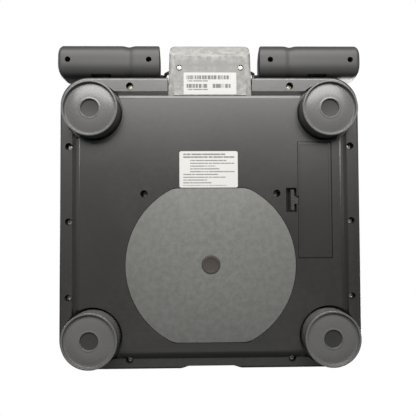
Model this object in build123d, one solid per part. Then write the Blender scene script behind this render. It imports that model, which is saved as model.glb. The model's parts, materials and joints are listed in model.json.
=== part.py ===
from build123d import *
import math
import os

# A body-composition bathroom scale, in millimetres. It stands on its four feet at z = 0.
# X is to the right and Y is away from the person who stands on it, towards the display and the hand grips.

# Overall sizes
body_width = 316.0
body_length = 306.0
body_corner_radius = 30.0
grip_reach = 37.3            # from the body's rear edge to the outer side of the grips
plateau_z = 13.0             # underside of the raised middle of the bottom shell
flange_z = 19.0              # underside of the border that carries the screws
seam_z = 29.0                # where the bottom shell meets the top cover
platform_z = 44.0            # top of the standing surface
wall = 2.4
ceiling = 3.0
running_clearance = 0.3      # between pieces that move past each other
lap = 1.0                    # how far a feature runs into what it joins, or a cut runs past a face

# Raised middle of the bottom shell
plateau_side_border = 13.3
plateau_rear_border = 15.2
plateau_front_border = 11.2
plateau_corner_radius = 16.0
plateau_draft = 50.0         # degrees from vertical
plateau_edge_radius = 7.0
flange_edge_radius = 3.0

# Finger recess in the front edge
recess_flat = 47.0
recess_ramp = 9.5
recess_depth = 3.3

# Feet and the wells around them
foot_side_inset = 36.1
foot_rear_inset = 38.1
foot_front_inset = 34.6
foot_radius = 28.3
foot_pad_thickness = 5.0
foot_cup_top = 22.0
foot_cup_wall = 2.5
foot_boss_radius = 5.0
foot_travel = 0.4
foot_rim_width = 2.0
foot_recess_radius = 9.2
foot_recess_depth = 2.6
foot_lip_width = 1.0
foot_lip_depth = 1.0
foot_dish_depth = 3.0
foot_lip_rise = 0.5          # from the lip's top down to the dish beside it
foot_groove_width = 1.2
foot_groove_drop = 0.2
foot_slope_width = 0.6       # of the steep sides of the rim and the lip
foot_edge_radius = 0.7
foot_ribs = 6
foot_rib_thickness = 2.0
foot_rib_drop = 4.0          # from the cup's top down to the ribs
foot_cup_relief = 0.3        # what the cup is smaller than the pad, all round
well_gap = 2.8               # between a foot and the wall of its well
well_roof_z = 25.0
well_hole_radius = 8.0

# Load cells
cell_size = 34.0
cell_thickness = 2.0
cell_z = well_roof_z + wall + 0.8
cell_window = 24.0
cell_tongue_width = 10.0
cell_tongue_length = 17.0
cell_corner_radius = 3.0
bracket_size = 36.0
bracket_wall = 3.0
bracket_corner_radius = 4.0

# Screws
screw_inset = 9.7
side_screw_spacing = 79.1
end_screw_spacing = 84.8
screw_recess_radius = 3.8
screw_recess_depth = 6.5
screw_head_radius = 2.5
screw_head_height = 2.0
screw_shank_radius = 1.4
screw_boss_radius = 5.6
screw_clearance = 0.3        # round a shank that passes through
screw_bite = 0.15            # how far a thread cuts into the boss it is driven into
middle_screw_x = 68.9
middle_screw_from_front = 181.8
middle_screw_depth = 11.0
housing_screw_head_height = 1.3
flange_screw_length = 12.0
middle_screw_length = 14.0
housing_screw_length = 26.0
screw_cross_width = 0.6
screw_cross_depth = 0.8
housing_screw_x = 32.0
housing_screw_from_rear = 29.95
housing_screw_recess_radius = 3.1
housing_screw_recess_depth = 1.6
housing_screw_head_radius = 2.3
housing_screw_boss_radius = 5.0
housing_screw_post_radius = 4.0
housing_screw_post_depth = 7.0

# Cord reel under the large cover
reel_cover_radius = 88.0
reel_cover_flat = 79.3       # from the centre to each flat side
reel_front_inset = 108.1     # from the body's front edge to the reel's centre
reel_cover_gap = 0.35
reel_cover_chamfer = 0.5
reel_ledge_width = 4.0
reel_ledge_height = 2.0
reel_plug_radius = 9.4
reel_plug_gap = 0.2
reel_plug_rise = 0.4         # how far the plug stands out of the cover
reel_plug_ring = 2.4
drum_radius = 78.0
drum_hub_radius = 46.0
drum_height = 8.0
drum_flange = 1.2
drum_gap = 0.7
spindle_radius = 6.0
spindle_collar = 5.0
spindle_clearance = 0.08
drum_boss_wall = 2.6
drum_hub_wall = 2.0
cord_diameter = 3.2
cord_turns = 3
cord_seat_gap = 0.1          # between the hub and the first turn
spring_inner_radius = 11.0
spring_strip = 0.6
spring_pitch = 3.0
spring_turns = 9
spring_end_gap = 0.4

# Battery compartment: four AA cells, two beside two
battery_diameter = 14.2
battery_length = 50.2
battery_nipple = 1.0
battery_nipple_radius = 2.7
battery_edge_radius = 0.6
battery_middle_gap = 3.6     # between the two cells in a row
contact_size = 11.0
contact_thickness = 0.8
contact_gap = 0.3            # between a contact and its cell
contact_coil_radius = 4.2
contact_coil_bore = 3.0
battery_side_room = 2.9          # what the compartment is wider than two cells
battery_end_room = 14.3          # what the compartment is longer than two cells, for the contacts
battery_top_room = 0.6
battery_door_room = 1.6          # between the cells and the door
compartment_side_inset = 49.5    # from the body's side to the compartment's centre
compartment_front_inset = 174.9  # from the body's front edge to the compartment's centre
compartment_wall = 1.8
door_side_lap = 1.85             # what the door covers beyond the compartment on each side
door_end_lap = 2.95              # and at each end
door_gap = 0.3
door_thickness = 2.2
door_corner_radius = 1.2
door_tab_setback = 0.4       # between the tabs' ends and the end of their reach
door_tab_root = 4.0          # how far a tab runs in over the door
door_tab_foot = 1.2          # from the door's edge to the foot that joins the tab to it
door_pivot_inset = 0.9       # from the door's outer edge and outer face to its pivot
door_tab_length = 2.4
door_tab_width = 9.0
door_tab_spacing = 38.0
door_tab_thickness = 1.0
door_tab_room = 5.0
door_rim_inset = 2.2         # raised line round the door's outer face
door_rim_width = 0.8
door_rim_height = 0.3
latch_pocket_width = 11.1
latch_pocket_length = 25.3
latch_pocket_depth = 6.5
latch_pocket_gap = 1.3       # strip of shell between the door and the pocket
latch_width = 21.0
latch_tab_thickness = 3.4
latch_arm_width = 8.0
latch_arm_thickness = 1.5
latch_arm_lap = 5.0          # how far the arm reaches over the door
latch_tab_room = 2.6         # between the tab and the pocket's side next to the door
latch_ridges = 7
latch_ridge_pitch = 3.0
latch_ridge_width = 1.0
latch_ridge_rise = 0.6
latch_ridge_inset = 0.4
latch_ramp_start = 3.0       # depth of the pocket's sloping floor at its far side
latch_ramp_end = 5.6         # and beside the tab
latch_ramp_gap = 0.8
latch_arm_room = 5.0         # depth of the slot that the arm passes through
latch_notch_depth = 0.8      # in the door's edge, beside the arm

# Display housing
housing_width = 88.8
housing_taper = 2.2          # each side draws in by this much over the housing's length
housing_bottom_length = 58.9
housing_top_length = 75.6
housing_bevel_width = 7.0
housing_bevel_height = 7.5
housing_rear_bevel = 18.0
housing_crease = 11.6
housing_crease_z = 19.5
housing_bevel_top_z = 30.0
housing_corner_radius = 6.0
housing_seam_z = 36.0
housing_wall = 2.2
housing_front_z = 45.5
housing_peak_z = 55.0
housing_peak_inset = 7.6
housing_rear_edge_drop = 8.0 # from the peak down to the rear wall
housing_opening_width = 60.0 # for the wires to the body
housing_opening_rise = 4.0
housing_edge_radius = 1.8
lens_width = 62.0
lens_length = 42.0
lens_thickness = 1.6
lens_gap = 0.1
lens_corner_radius = 3.0
window_corner_radius = 2.0
window_depth = 6.0
window_margin = 5.0
lcd_thickness = 2.4
lcd_edge = 1.0               # what the panel is smaller than the window, all round
lcd_behind = 0.6
display_board_side_gap = 14.0
display_board_extra_length = 20.0
display_board_shift = 8.0
display_board_behind = 2.4
button_width = 13.0
button_length = 7.0
button_pitch = 18.0
button_height = 0.8
button_from_lens = 9.0       # from the lens's front edge to the middle of the buttons
button_flange = 1.2
button_flange_thickness = 1.0
button_flange_behind = 1.2   # between the housing's wall and the flange
button_corner_radius = 3.0
button_edge_radius = 0.3
lens_from_front = 44.0       # from the housing's front edge to the middle of the lens
button_names = ("button_user", "button_down", "button_up", "button_guest")

# Hand grips
grip_depth = 36.0
grip_height = 34.0
grip_bottom_z = 20.5
grip_section_radius = 12.0
grip_overhang = 3.8          # from the body's side to the grip's outer end
grip_housing_gap = 8.4       # from the housing's widest side to the grip's inner end
grip_outer_bow = 110.0       # radius that the outer end is bowed to
grip_inner_bow = 60.0
grip_outer_edge = 4.0
grip_inner_edge = 2.0
grip_wall = 2.2
grip_waist_from_inner_end = 33.7
grip_waist_width = 9.0
grip_waist_depth = 0.9
grip_inner_screw_inset = 12.0
grip_outer_screw_inset = 11.4
grip_screw_recess_radius = 3.0
grip_screw_recess_depth = 7.0
grip_screw_boss_radius = 4.4
grip_screw_head_radius = 2.6
grip_screw_head_height = 1.8
grip_screw_length = 16.0
grip_electrode_thickness = 0.5
thumb_electrode_inset = 9.2      # from the grip's inner end
thumb_electrode_half_depth = 14.0
finger_electrode_inset = 15.8    # from the grip's outer end
finger_electrode_start = 4.0     # from the grip's middle, along Y
electrode_waist_gap = 1.0
finger_electrode_rise = 1.0      # above the grip's seam
thumb_electrode_rise = 6.0
hook_from_outer_end = 45.8
hook_head_width = 20.0
hook_neck_width = 12.0
hook_neck_length = 2.6
hook_head_length = 1.8
hook_bottom_z = 31.0
hook_top_z = 41.0
hook_backing = 3.0
hook_backing_top = 3.0       # above the hook's top

# Cord between the housing and each grip
lead_exit_z = 28.5
lead_entry_z = 40.5
lead_bend_radius = 5.0
lead_from_grip_edge = 6.0
lead_hole_gap = 0.5
lead_inside = 3.0

# Standing electrodes on the platform
electrode_width = 104.0
electrode_thickness = 0.6
electrode_x = 74.0
toe_electrode_length = 88.0
toe_electrode_from_housing = 24.0
heel_electrode_length = 74.0
heel_electrode_from_front = 18.6
electrode_radius = 22.0

# Sheet metal, boards and labels
platform_plate_thickness = 1.2
platform_plate_inset = 16.0
cover_edge_radius = 5.0
board_thickness = 1.6
main_board_width = 58.0
main_board_length = 84.0
main_board_rise = 5.0        # above the shell's floor
board_corner_radius = 2.0
board_post_radius = 2.5
board_post_inset = 5.0
chip_size = 16.0
chip_height = 2.0
sensor_plug_length = 24.0
sensor_plug_width = 10.0
sensor_plug_height = 6.0
sensor_plug_from_corner = 8.0
battery_plug_length = 8.0
battery_plug_width = 14.0
battery_plug_height = 5.0
battery_plug_from_corner = 10.0
capacitor_radius = 4.0
capacitor_height = 8.0
capacitor_x = 16.0           # from the board's middle
capacitor_y = 14.0
label_thickness = 0.15
rating_label_width = 60.5
rating_label_length = 37.9
rating_label_x = 1.9
rating_label_gap = 0.6
rating_label_corner = 2.0
housing_label_corner = 0.6
housing_label_width = 55.0
housing_label_length = 22.9
housing_label_from_front = 12.5

# Places worked out from the sizes above
overall_length = body_length + grip_reach
front_y = -overall_length / 2
rear_y = front_y + body_length
grip_outer_y = rear_y + grip_reach
body_y = (front_y + rear_y) / 2
side_x = body_width / 2
ceiling_z = platform_z - ceiling
plate_z = ceiling_z - platform_plate_thickness
reel_y = front_y + reel_front_inset
compartment_x = -side_x + compartment_side_inset
compartment_y = front_y + compartment_front_inset
compartment_width = 2 * battery_diameter + battery_side_room
compartment_length = 2 * battery_length + battery_end_room
battery_z = plateau_z + door_thickness + battery_door_room + battery_diameter / 2
compartment_roof_z = battery_z + battery_diameter / 2 + battery_top_room
door_width = compartment_width + 2 * door_side_lap
door_length = compartment_length + 2 * door_end_lap
well_radius = foot_radius + well_gap
lead_hole_radius = cord_diameter / 2 + lead_hole_gap
grip_outer_x = side_x + grip_overhang
grip_inner_x = housing_width / 2 + grip_housing_gap
grip_waist_x = grip_inner_x + grip_waist_from_inner_end
hook_x = grip_outer_x - hook_from_outer_end
grip_y = grip_outer_y - grip_depth / 2
grip_seam_z = grip_bottom_z + grip_height / 2
housing_front_y = grip_outer_y - housing_bottom_length
housing_top_front_y = grip_outer_y - housing_top_length
housing_label_y = housing_front_y + housing_label_from_front
toe_electrode_y = housing_top_front_y - toe_electrode_from_housing - toe_electrode_length / 2
heel_electrode_y = front_y + heel_electrode_from_front + heel_electrode_length / 2
foot_places = {
    "left_rear": (-side_x + foot_side_inset, rear_y - foot_rear_inset),
    "right_rear": (side_x - foot_side_inset, rear_y - foot_rear_inset),
    "left_front": (-side_x + foot_side_inset, front_y + foot_front_inset),
    "right_front": (side_x - foot_side_inset, front_y + foot_front_inset),
}
drum_z = {
    "left": plateau_z + wall + reel_ledge_height + drum_gap,
    "right": plateau_z + wall + reel_ledge_height + 2 * drum_gap + drum_height,
}
flange_screws = [
    (sign * (side_x - screw_inset), body_y + step * side_screw_spacing)
    for sign in (-1, 1)
    for step in (-1, 0, 1)
] + [
    (sign * end_screw_spacing, y)
    for sign in (-1, 1)
    for y in (front_y + screw_inset, rear_y - screw_inset)
]
middle_screws = [(sign * middle_screw_x, front_y + middle_screw_from_front) for sign in (-1, 1)]
housing_screws = [(sign * housing_screw_x, grip_outer_y - housing_screw_from_rear) for sign in (-1, 1)]

low = (Align.CENTER, Align.CENTER, Align.MIN)


def block(x_low, x_high, y_low, y_high, z_low, z_high):
    centre = Pos((x_low + x_high) / 2, (y_low + y_high) / 2, z_low)
    return centre * Box(x_high - x_low, y_high - y_low, z_high - z_low, align=low)


def post(x, y, radius, z_low, z_high):
    return Pos(x, y, z_low) * Cylinder(radius, z_high - z_low, align=low)


def tube(x, y, inner, outer, z_low, z_high):
    return post(x, y, outer, z_low, z_high) - post(x, y, inner, z_low, z_high)


def rounded_plate(width, length, radius, x, y, z_low, z_high):
    return extrude(Pos(x, y, z_low) * RectangleRounded(width, length, radius), z_high - z_low)


def front_recess(grow):
    """The shallow finger recess in the front edge, grown inwards by a wall."""
    flat = recess_flat / 2 + grow
    wide = flat + recess_ramp
    outline = Polyline(
        (-wide, front_y - lap),
        (-wide, front_y),
        (-flat, front_y + recess_depth + grow),
        (flat, front_y + recess_depth + grow),
        (wide, front_y),
        (wide, front_y - lap),
        close=True,
    )
    return extrude(Pos(0, 0, plateau_z - lap) * make_face(outline), platform_z)


# Bottom shell

def plateau_form(inset):
    """The raised middle, which narrows downwards at the draft angle."""
    width = body_width - 2 * plateau_side_border
    length = body_length - plateau_rear_border - plateau_front_border
    centre_y = (front_y + plateau_front_border + rear_y - plateau_rear_border) / 2
    base = Plane((0, centre_y, flange_z + inset), x_dir=(1, 0, 0), z_dir=(0, 0, -1))
    outline = RectangleRounded(width - 2 * inset, length - 2 * inset, plateau_corner_radius)
    form = extrude(base * outline, flange_z - plateau_z, taper=plateau_draft)
    return form + rounded_plate(
        width - 2 * inset,
        length - 2 * inset,
        plateau_corner_radius,
        0,
        centre_y,
        flange_z + inset,
        seam_z,
    )


def flange_form(inset):
    radius = body_corner_radius - inset
    return rounded_plate(
        body_width - 2 * inset, body_length - 2 * inset, radius, 0, body_y, flange_z + inset, seam_z
    )


def lower_form():
    flange = flange_form(0)
    flange = fillet(flange.edges().group_by(Axis.Z)[0], flange_edge_radius)
    plateau = plateau_form(0)
    plateau = fillet(plateau.edges().group_by(Axis.Z)[0], plateau_edge_radius)
    return flange + plateau - front_recess(0)


def lower_cavity():
    return flange_form(wall) + plateau_form(wall) - front_recess(wall)


def reel_outline(grow):
    circle = Circle(reel_cover_radius + grow)
    band = Rectangle(4 * reel_cover_radius, 2 * (reel_cover_flat + grow))
    return Pos(0, reel_y, 0) * (circle & band)


def reel_plate(grow, z_low, z_high):
    return extrude(Pos(0, 0, z_low) * reel_outline(grow), z_high - z_low)


def housing_half_width(y):
    """Half of the display housing's width, which draws in towards the rear."""
    return housing_width / 2 - housing_taper * (y - housing_front_y) / housing_bottom_length


def housing_notch():
    gap = running_clearance
    half = housing_half_width(housing_front_y) + gap
    return block(-half, half, housing_front_y - gap, rear_y + lap, plateau_z - lap, seam_z + lap)


def compartment_box():
    half_x = door_width / 2 + door_gap + compartment_wall
    half_y = door_length / 2 + door_gap + compartment_wall
    return block(
        compartment_x - half_x,
        compartment_x + half_x,
        compartment_y - half_y,
        compartment_y + half_y,
        plateau_z,
        compartment_roof_z + compartment_wall,
    )


def pocket_x():
    """The latch pocket's two sides along X, beside the door's inner edge."""
    low_x = compartment_x + door_width / 2 + door_gap + latch_pocket_gap
    return low_x, low_x + latch_pocket_width


def pocket_box(grow):
    low_x, high_x = pocket_x()
    half = latch_pocket_length / 2 + grow
    return block(
        low_x - grow,
        high_x + grow,
        compartment_y - half,
        compartment_y + half,
        plateau_z - (0 if grow else lap),
        plateau_z + latch_pocket_depth + grow,
    )


def pocket_ramp():
    """The pocket's floor on its far side, which slopes down towards the catch."""
    low_x, high_x = pocket_x()
    start_x = low_x + latch_tab_room + latch_tab_thickness + latch_ramp_gap
    top = plateau_z + latch_pocket_depth + wall
    outline = Polyline(
        (high_x + lap / 2, plateau_z + latch_ramp_start),
        (start_x, plateau_z + latch_ramp_end),
        (start_x, top),
        (high_x + lap / 2, top),
        close=True,
    )
    length = latch_pocket_length + lap
    return Pos(0, compartment_y, 0) * extrude(Plane.XZ * make_face(outline), length / 2, both=True)


def tab_places():
    return [compartment_y + sign * door_tab_spacing for sign in (-1, 1)]


def compartment_cuts():
    half_x = compartment_width / 2
    half_y = compartment_length / 2
    cavity = block(
        compartment_x - half_x,
        compartment_x + half_x,
        compartment_y - half_y,
        compartment_y + half_y,
        plateau_z - lap,
        compartment_roof_z,
    )
    opening_x = door_width / 2 + door_gap
    opening_y = door_length / 2 + door_gap
    opening = block(
        compartment_x - opening_x,
        compartment_x + opening_x,
        compartment_y - opening_y,
        compartment_y + opening_y,
        plateau_z - lap,
        plateau_z + door_thickness + door_gap,
    )
    cuts = [cavity, opening]
    outer_x = compartment_x - opening_x
    for y in tab_places():
        half = door_tab_width / 2 + running_clearance
        cuts.append(
            block(
                outer_x - door_tab_length,
                compartment_x - half_x + lap,
                y - half,
                y + half,
                plateau_z + door_thickness,
                plateau_z + door_thickness + door_tab_room,
            )
        )
    low_x, high_x = pocket_x()
    arm = latch_arm_width / 2 + running_clearance
    cuts.append(
        block(
            compartment_x + half_x - lap,
            low_x + lap,
            compartment_y - arm,
            compartment_y + arm,
            plateau_z - lap,
            plateau_z + latch_arm_room,
        )
    )
    return cuts


def bottom_shell():
    form = lower_form()
    shell = form - lower_cavity()
    cuts = []
    for x, y in foot_places.values():
        shell += post(x, y, well_radius + wall, plateau_z, well_roof_z + wall) & form
        cuts.append(post(x, y, well_radius, plateau_z - lap, well_roof_z))
        cuts.append(post(x, y, well_hole_radius, well_roof_z - lap, seam_z))
    for x, y in flange_screws:
        shell += post(x, y, screw_boss_radius, plateau_z, seam_z) & form
        cuts.append(post(x, y, screw_recess_radius, plateau_z - lap, flange_z + screw_recess_depth))
        cuts.append(post(x, y, screw_shank_radius + screw_clearance, flange_z, seam_z + lap))
    for x, y in middle_screws:
        shell += post(x, y, screw_boss_radius + lap, plateau_z + lap, seam_z)
        cuts.append(post(x, y, screw_recess_radius, plateau_z - lap, plateau_z + middle_screw_depth))
        cuts.append(post(x, y, screw_shank_radius + screw_clearance, plateau_z, seam_z + lap))
    shell += compartment_box()
    shell += pocket_box(wall)
    shell += reel_plate(wall, plateau_z + lap, plateau_z + wall + reel_ledge_height)
    cuts += compartment_cuts()
    cuts.append(pocket_box(0))
    cuts.append(reel_plate(reel_cover_gap, plateau_z - lap, plateau_z + wall))
    cuts.append(reel_plate(-reel_ledge_width, plateau_z, plateau_z + 2 * wall + reel_ledge_height))
    cuts.append(housing_notch())
    for x, y in board_posts():
        shell += post(x, y, board_post_radius, plateau_z + lap, main_board_z())
    for cut in cuts:
        shell -= cut
    return shell + pocket_ramp()


# Top cover and what it carries

def hook(sign, grow):
    """A T-shaped tongue that a grip hangs on. Grown, it is the slot in the grip."""
    x = sign * hook_x
    neck = hook_neck_width / 2 + grow
    head = hook_head_width / 2 + grow
    neck_end = rear_y + hook_neck_length
    bottom = hook_bottom_z if grow == 0 else grip_bottom_z - lap
    neck_block = block(x - neck, x + neck, rear_y - lap, neck_end, bottom, hook_top_z + grow)
    return neck_block + block(
        x - head,
        x + head,
        neck_end - grow,
        neck_end + hook_head_length + grow,
        bottom,
        hook_top_z + grow,
    )


def cover_notch():
    gap = running_clearance
    half = housing_half_width(housing_top_front_y) + gap
    return block(-half, half, housing_top_front_y - gap, rear_y + lap, seam_z - lap, platform_z + lap)


def top_cover():
    form = rounded_plate(
        body_width, body_length, body_corner_radius, 0, body_y, seam_z, platform_z
    )
    form = fillet(form.edges().group_by(Axis.Z)[-1], cover_edge_radius)
    form -= front_recess(0)
    cavity = rounded_plate(
        body_width - 2 * wall,
        body_length - 2 * wall,
        body_corner_radius - wall,
        0,
        body_y,
        seam_z,
        ceiling_z,
    )
    cover = form - (cavity - front_recess(wall))
    for x, y in flange_screws + middle_screws:
        cover += post(x, y, screw_boss_radius - lap, seam_z, ceiling_z + lap)
        cover -= post(x, y, screw_shank_radius - screw_bite, seam_z - lap, ceiling_z)
    for sign in (-1, 1):
        cover += hook(sign, 0)
    for plate in standing_electrodes().values():
        cover -= plate
    return cover - cover_notch()


def standing_electrodes():
    plates = {}
    z_low = platform_z - electrode_thickness
    for side, sign in (("left", -1), ("right", 1)):
        plates[f"toe_electrode_{side}"] = rounded_plate(
            electrode_width,
            toe_electrode_length,
            electrode_radius,
            sign * electrode_x,
            toe_electrode_y,
            z_low,
            platform_z,
        )
        plates[f"heel_electrode_{side}"] = rounded_plate(
            electrode_width,
            heel_electrode_length,
            electrode_radius,
            sign * electrode_x,
            heel_electrode_y,
            z_low,
            platform_z,
        )
    return plates


def platform_plate():
    inset = platform_plate_inset
    plate = rounded_plate(
        body_width - 2 * inset,
        body_length - 2 * inset,
        body_corner_radius / 2,
        0,
        body_y,
        plate_z,
        ceiling_z,
    )
    half = housing_width / 2 + wall
    plate -= block(-half, half, housing_top_front_y - wall, rear_y, plate_z - lap, ceiling_z + lap)
    for x, y in middle_screws:
        plate -= post(x, y, screw_boss_radius + lap, plate_z - lap, ceiling_z + lap)
    return plate


# Feet and load cells

def foot_pad(x, y):
    """A rubber disc with a rim, a dish that rises towards a lip, and a round recess in its middle."""
    rim = foot_radius - foot_rim_width
    groove_radius = rim - foot_slope_width
    lip_radius = foot_recess_radius + foot_lip_width
    with BuildSketch(Plane.XZ) as section:
        with BuildLine():
            side = Line((foot_radius, foot_pad_thickness), (foot_radius, foot_edge_radius))
            edge = RadiusArc(side @ 1, (foot_radius - foot_edge_radius, 0), foot_edge_radius)
            face = Line(edge @ 1, (rim, 0))
            slope = Line(face @ 1, (groove_radius, foot_dish_depth - foot_groove_drop))
            groove = Line(slope @ 1, (groove_radius - foot_groove_width, foot_dish_depth))
            dish = Line(groove @ 1, (lip_radius + foot_slope_width, foot_lip_depth + foot_lip_rise))
            lip = Line(dish @ 1, (lip_radius, foot_lip_depth))
            lip_top = Line(lip @ 1, (foot_recess_radius, foot_lip_depth))
            step = Line(lip_top @ 1, (foot_recess_radius, foot_recess_depth))
            floor = Line(step @ 1, (0, foot_recess_depth))
            Line(floor @ 1, (0, foot_pad_thickness))
            Line((0, foot_pad_thickness), side @ 0)
        make_face()
    return Pos(x, y, 0) * revolve(section.sketch, Axis.Z)


def foot_cup(x, y):
    radius = foot_radius - foot_cup_relief
    inner = radius - foot_cup_wall
    floor_z = foot_pad_thickness + foot_cup_wall
    cup = post(x, y, radius, foot_pad_thickness, foot_cup_top)
    cup -= post(x, y, inner, floor_z, foot_cup_top + lap)
    cup += post(x, y, foot_boss_radius, foot_pad_thickness, cell_z - 2 * foot_travel)
    half = foot_rib_thickness / 2
    for turn in range(foot_ribs):
        rib_top = foot_cup_top - foot_rib_drop
        rib = block(foot_boss_radius - lap, inner + lap, -half, half, floor_z - lap, rib_top)
        cup += Pos(x, y, 0) * Rotation(0, 0, 360 * turn / foot_ribs) * rib
    return cup


def load_cell(x, y):
    """A flat strain-gauge cell: a frame, and a tongue that the foot pushes on."""
    top = cell_z + cell_thickness
    cell = rounded_plate(cell_size, cell_size, cell_corner_radius, x, y, cell_z, top)
    half = cell_window / 2
    window = block(x - half, x + half, y - half, y + half, cell_z - lap, top + lap)
    reach = half - cell_tongue_length
    tongue = cell_tongue_width / 2
    window -= block(x - tongue, x + tongue, y + reach, y + half + lap, cell_z - lap, top + lap)
    return cell - window


def load_cell_brackets():
    """Steel frames that carry the platform plate on the load cells."""
    pieces = []
    z_low = cell_z + cell_thickness
    for x, y in foot_places.values():
        frame = rounded_plate(bracket_size, bracket_size, bracket_corner_radius, x, y, z_low, plate_z)
        inner = bracket_size - 2 * bracket_wall
        radius = bracket_corner_radius - bracket_wall
        pieces.append(frame - rounded_plate(inner, inner, radius, x, y, z_low - lap, plate_z + lap))
    return Compound(children=pieces)


# Cord reel

def reel_cover():
    cover = reel_plate(0, plateau_z, plateau_z + wall)
    cover = chamfer(cover.edges().group_by(Axis.Z)[0], reel_cover_chamfer)
    return cover - post(0, reel_y, reel_plug_radius + reel_plug_gap, plateau_z - lap, plateau_z + wall + lap)


def reel_plug():
    plug = post(0, reel_y, reel_plug_radius, plateau_z - reel_plug_rise, plateau_z + wall)
    plug = chamfer(plug.edges().group_by(Axis.Z)[0], reel_plug_rise)
    return plug - post(0, reel_y, reel_plug_radius - reel_plug_ring, plateau_z - lap, plateau_z)


def reel_spindle():
    spindle = post(0, reel_y, spindle_radius, plateau_z + wall, plate_z)
    top = drum_z["right"] + drum_height + drum_gap
    return spindle + post(0, reel_y, spindle_radius + spindle_collar, top, plate_z)


def reel_drum(side):
    """A drum with two flanges, a hub that the cord winds on and a boss on the spindle."""
    z = drum_z[side]
    top = z + drum_height
    bore = spindle_radius + spindle_clearance
    drum = tube(0, reel_y, bore, drum_radius, z, z + drum_flange)
    drum += tube(0, reel_y, bore, bore + drum_boss_wall, z, top)
    hub_bore = drum_hub_radius - drum_hub_wall
    drum += tube(0, reel_y, hub_bore, drum_hub_radius, z, top)
    drum += tube(0, reel_y, hub_bore, drum_radius, top - drum_flange, top)
    return drum


def reel_cord(side):
    """The wound part of the cord, as one flat ring on the drum's hub."""
    z = drum_z[side] + (drum_height - cord_diameter) / 2
    inner = drum_hub_radius + cord_seat_gap
    return tube(0, reel_y, inner, inner + cord_turns * cord_diameter, z, z + cord_diameter)


def reel_spring(side):
    """A spiral of flat strip, drawn as half circles that grow by half a pitch."""
    z = drum_z[side] + drum_flange + spring_end_gap
    arcs = []
    radius = spring_inner_radius
    centre = 0.0
    direction = 1
    for _ in range(2 * spring_turns):
        start = (centre + direction * radius, reel_y)
        end = (centre - direction * radius, reel_y)
        middle = (centre, reel_y + direction * radius)
        arcs.append(ThreePointArc(start, middle, end))
        centre += direction * spring_pitch / 4
        radius += spring_pitch / 4
        direction = -direction
    strip = trace(Curve() + arcs, line_width=spring_strip)
    return extrude(Pos(0, 0, z) * strip, drum_height - 2 * drum_flange - 2 * spring_end_gap)


# Batteries and their door

def battery_places():
    side = (compartment_width - 2 * battery_diameter) / 4 + battery_diameter / 2
    along = battery_length / 2 + battery_middle_gap / 2
    return [
        (compartment_x + sx * side, compartment_y + sy * along, battery_z)
        for sx in (-1, 1)
        for sy in (-1, 1)
    ]


def battery(index):
    x, y, z = battery_places()[index]
    pole = 1 if x < compartment_x else -1
    can = Cylinder(battery_diameter / 2, battery_length - battery_nipple)
    can = fillet(can.edges(), battery_edge_radius)
    nipple = Pos(0, 0, battery_length / 2) * Cylinder(battery_nipple_radius, battery_nipple)
    return Pos(x, y, z) * Rotation(-90 * pole, 0, 0) * (can + nipple)


def battery_contacts():
    """Spring contacts and flat contacts at the two ends of the compartment."""
    pieces = []
    half_y = compartment_length / 2
    for x, y, z in battery_places():
        end = 1 if y > compartment_y else -1
        plate_y = compartment_y + end * (half_y - contact_thickness / 2)
        plate = Pos(x, plate_y, z) * Box(contact_size, contact_thickness, contact_size)
        coil_start = compartment_y + end * (half_y - contact_thickness)
        coil_end = y + end * (battery_length / 2 + contact_gap)
        reach = abs(coil_start - coil_end)
        coil = Cylinder(contact_coil_radius, reach) - Cylinder(contact_coil_bore, reach)
        pieces.append(plate + Pos(x, (coil_start + coil_end) / 2, z) * Rotation(90, 0, 0) * coil)
    return Compound(children=pieces)


def battery_door():
    x, y = compartment_x, compartment_y
    top = plateau_z + door_thickness
    door = rounded_plate(door_width, door_length, door_corner_radius, x, y, plateau_z, top)
    outer = door.edges().filter_by(Axis.Y).group_by(Axis.Z)[0].sort_by(Axis.X)[0]
    door = fillet(outer, door_pivot_inset)
    rim_x = door_width - 2 * door_rim_inset
    rim_y = door_length - 2 * door_rim_inset
    inner_x = rim_x - 2 * door_rim_width
    inner_y = rim_y - 2 * door_rim_width
    rim = rounded_plate(rim_x, rim_y, door_corner_radius, x, y, plateau_z - door_rim_height, plateau_z)
    rim -= rounded_plate(inner_x, inner_y, door_corner_radius, x, y, plateau_z - lap, plateau_z + lap)
    door += rim
    edge = x - door_width / 2
    tab_end = edge - door_tab_length + door_tab_setback
    tab_low = top + running_clearance
    tab_top = tab_low + door_tab_thickness
    half = door_tab_width / 2
    for tab_y in tab_places():
        door += block(tab_end, edge + door_tab_root, tab_y - half, tab_y + half, tab_low, tab_top)
        foot = edge + door_tab_foot
        door += block(foot, edge + door_tab_root, tab_y - half, tab_y + half, top - lap, tab_top)
    inner = x + door_width / 2
    half = latch_arm_width / 2 + running_clearance
    notch = inner - latch_notch_depth
    return door - block(notch, inner + lap, y - half, y + half, plateau_z - lap, top + lap)


def battery_door_latch():
    """A catch with a thumb tab in the pocket and an arm that slides on the door's inner face."""
    low_x, high_x = pocket_x()
    tab_low = low_x + latch_tab_room
    tab_high = tab_low + latch_tab_thickness
    top = plateau_z + door_thickness + running_clearance + latch_arm_thickness
    half = latch_width / 2
    tab_face = plateau_z + latch_ridge_rise / 2
    tab = block(tab_low, tab_high, compartment_y - half, compartment_y + half, tab_face, top)
    arm_half = latch_arm_width / 2
    arm_low = compartment_x + door_width / 2 - latch_arm_lap
    arm = block(
        arm_low,
        tab_high,
        compartment_y - arm_half,
        compartment_y + arm_half,
        top - latch_arm_thickness,
        top,
    )
    latch = tab + arm
    ridge_half = latch_ridge_width / 2
    for step in range(latch_ridges):
        y = compartment_y + (step - (latch_ridges - 1) / 2) * latch_ridge_pitch
        low_y = y - ridge_half
        high_y = y + ridge_half
        ridge_low = tab_low + latch_ridge_inset
        ridge_high = tab_high - latch_ridge_inset
        latch += block(ridge_low, ridge_high, low_y, high_y, plateau_z, plateau_z + latch_ridge_rise)
    return latch


# Display housing

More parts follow.
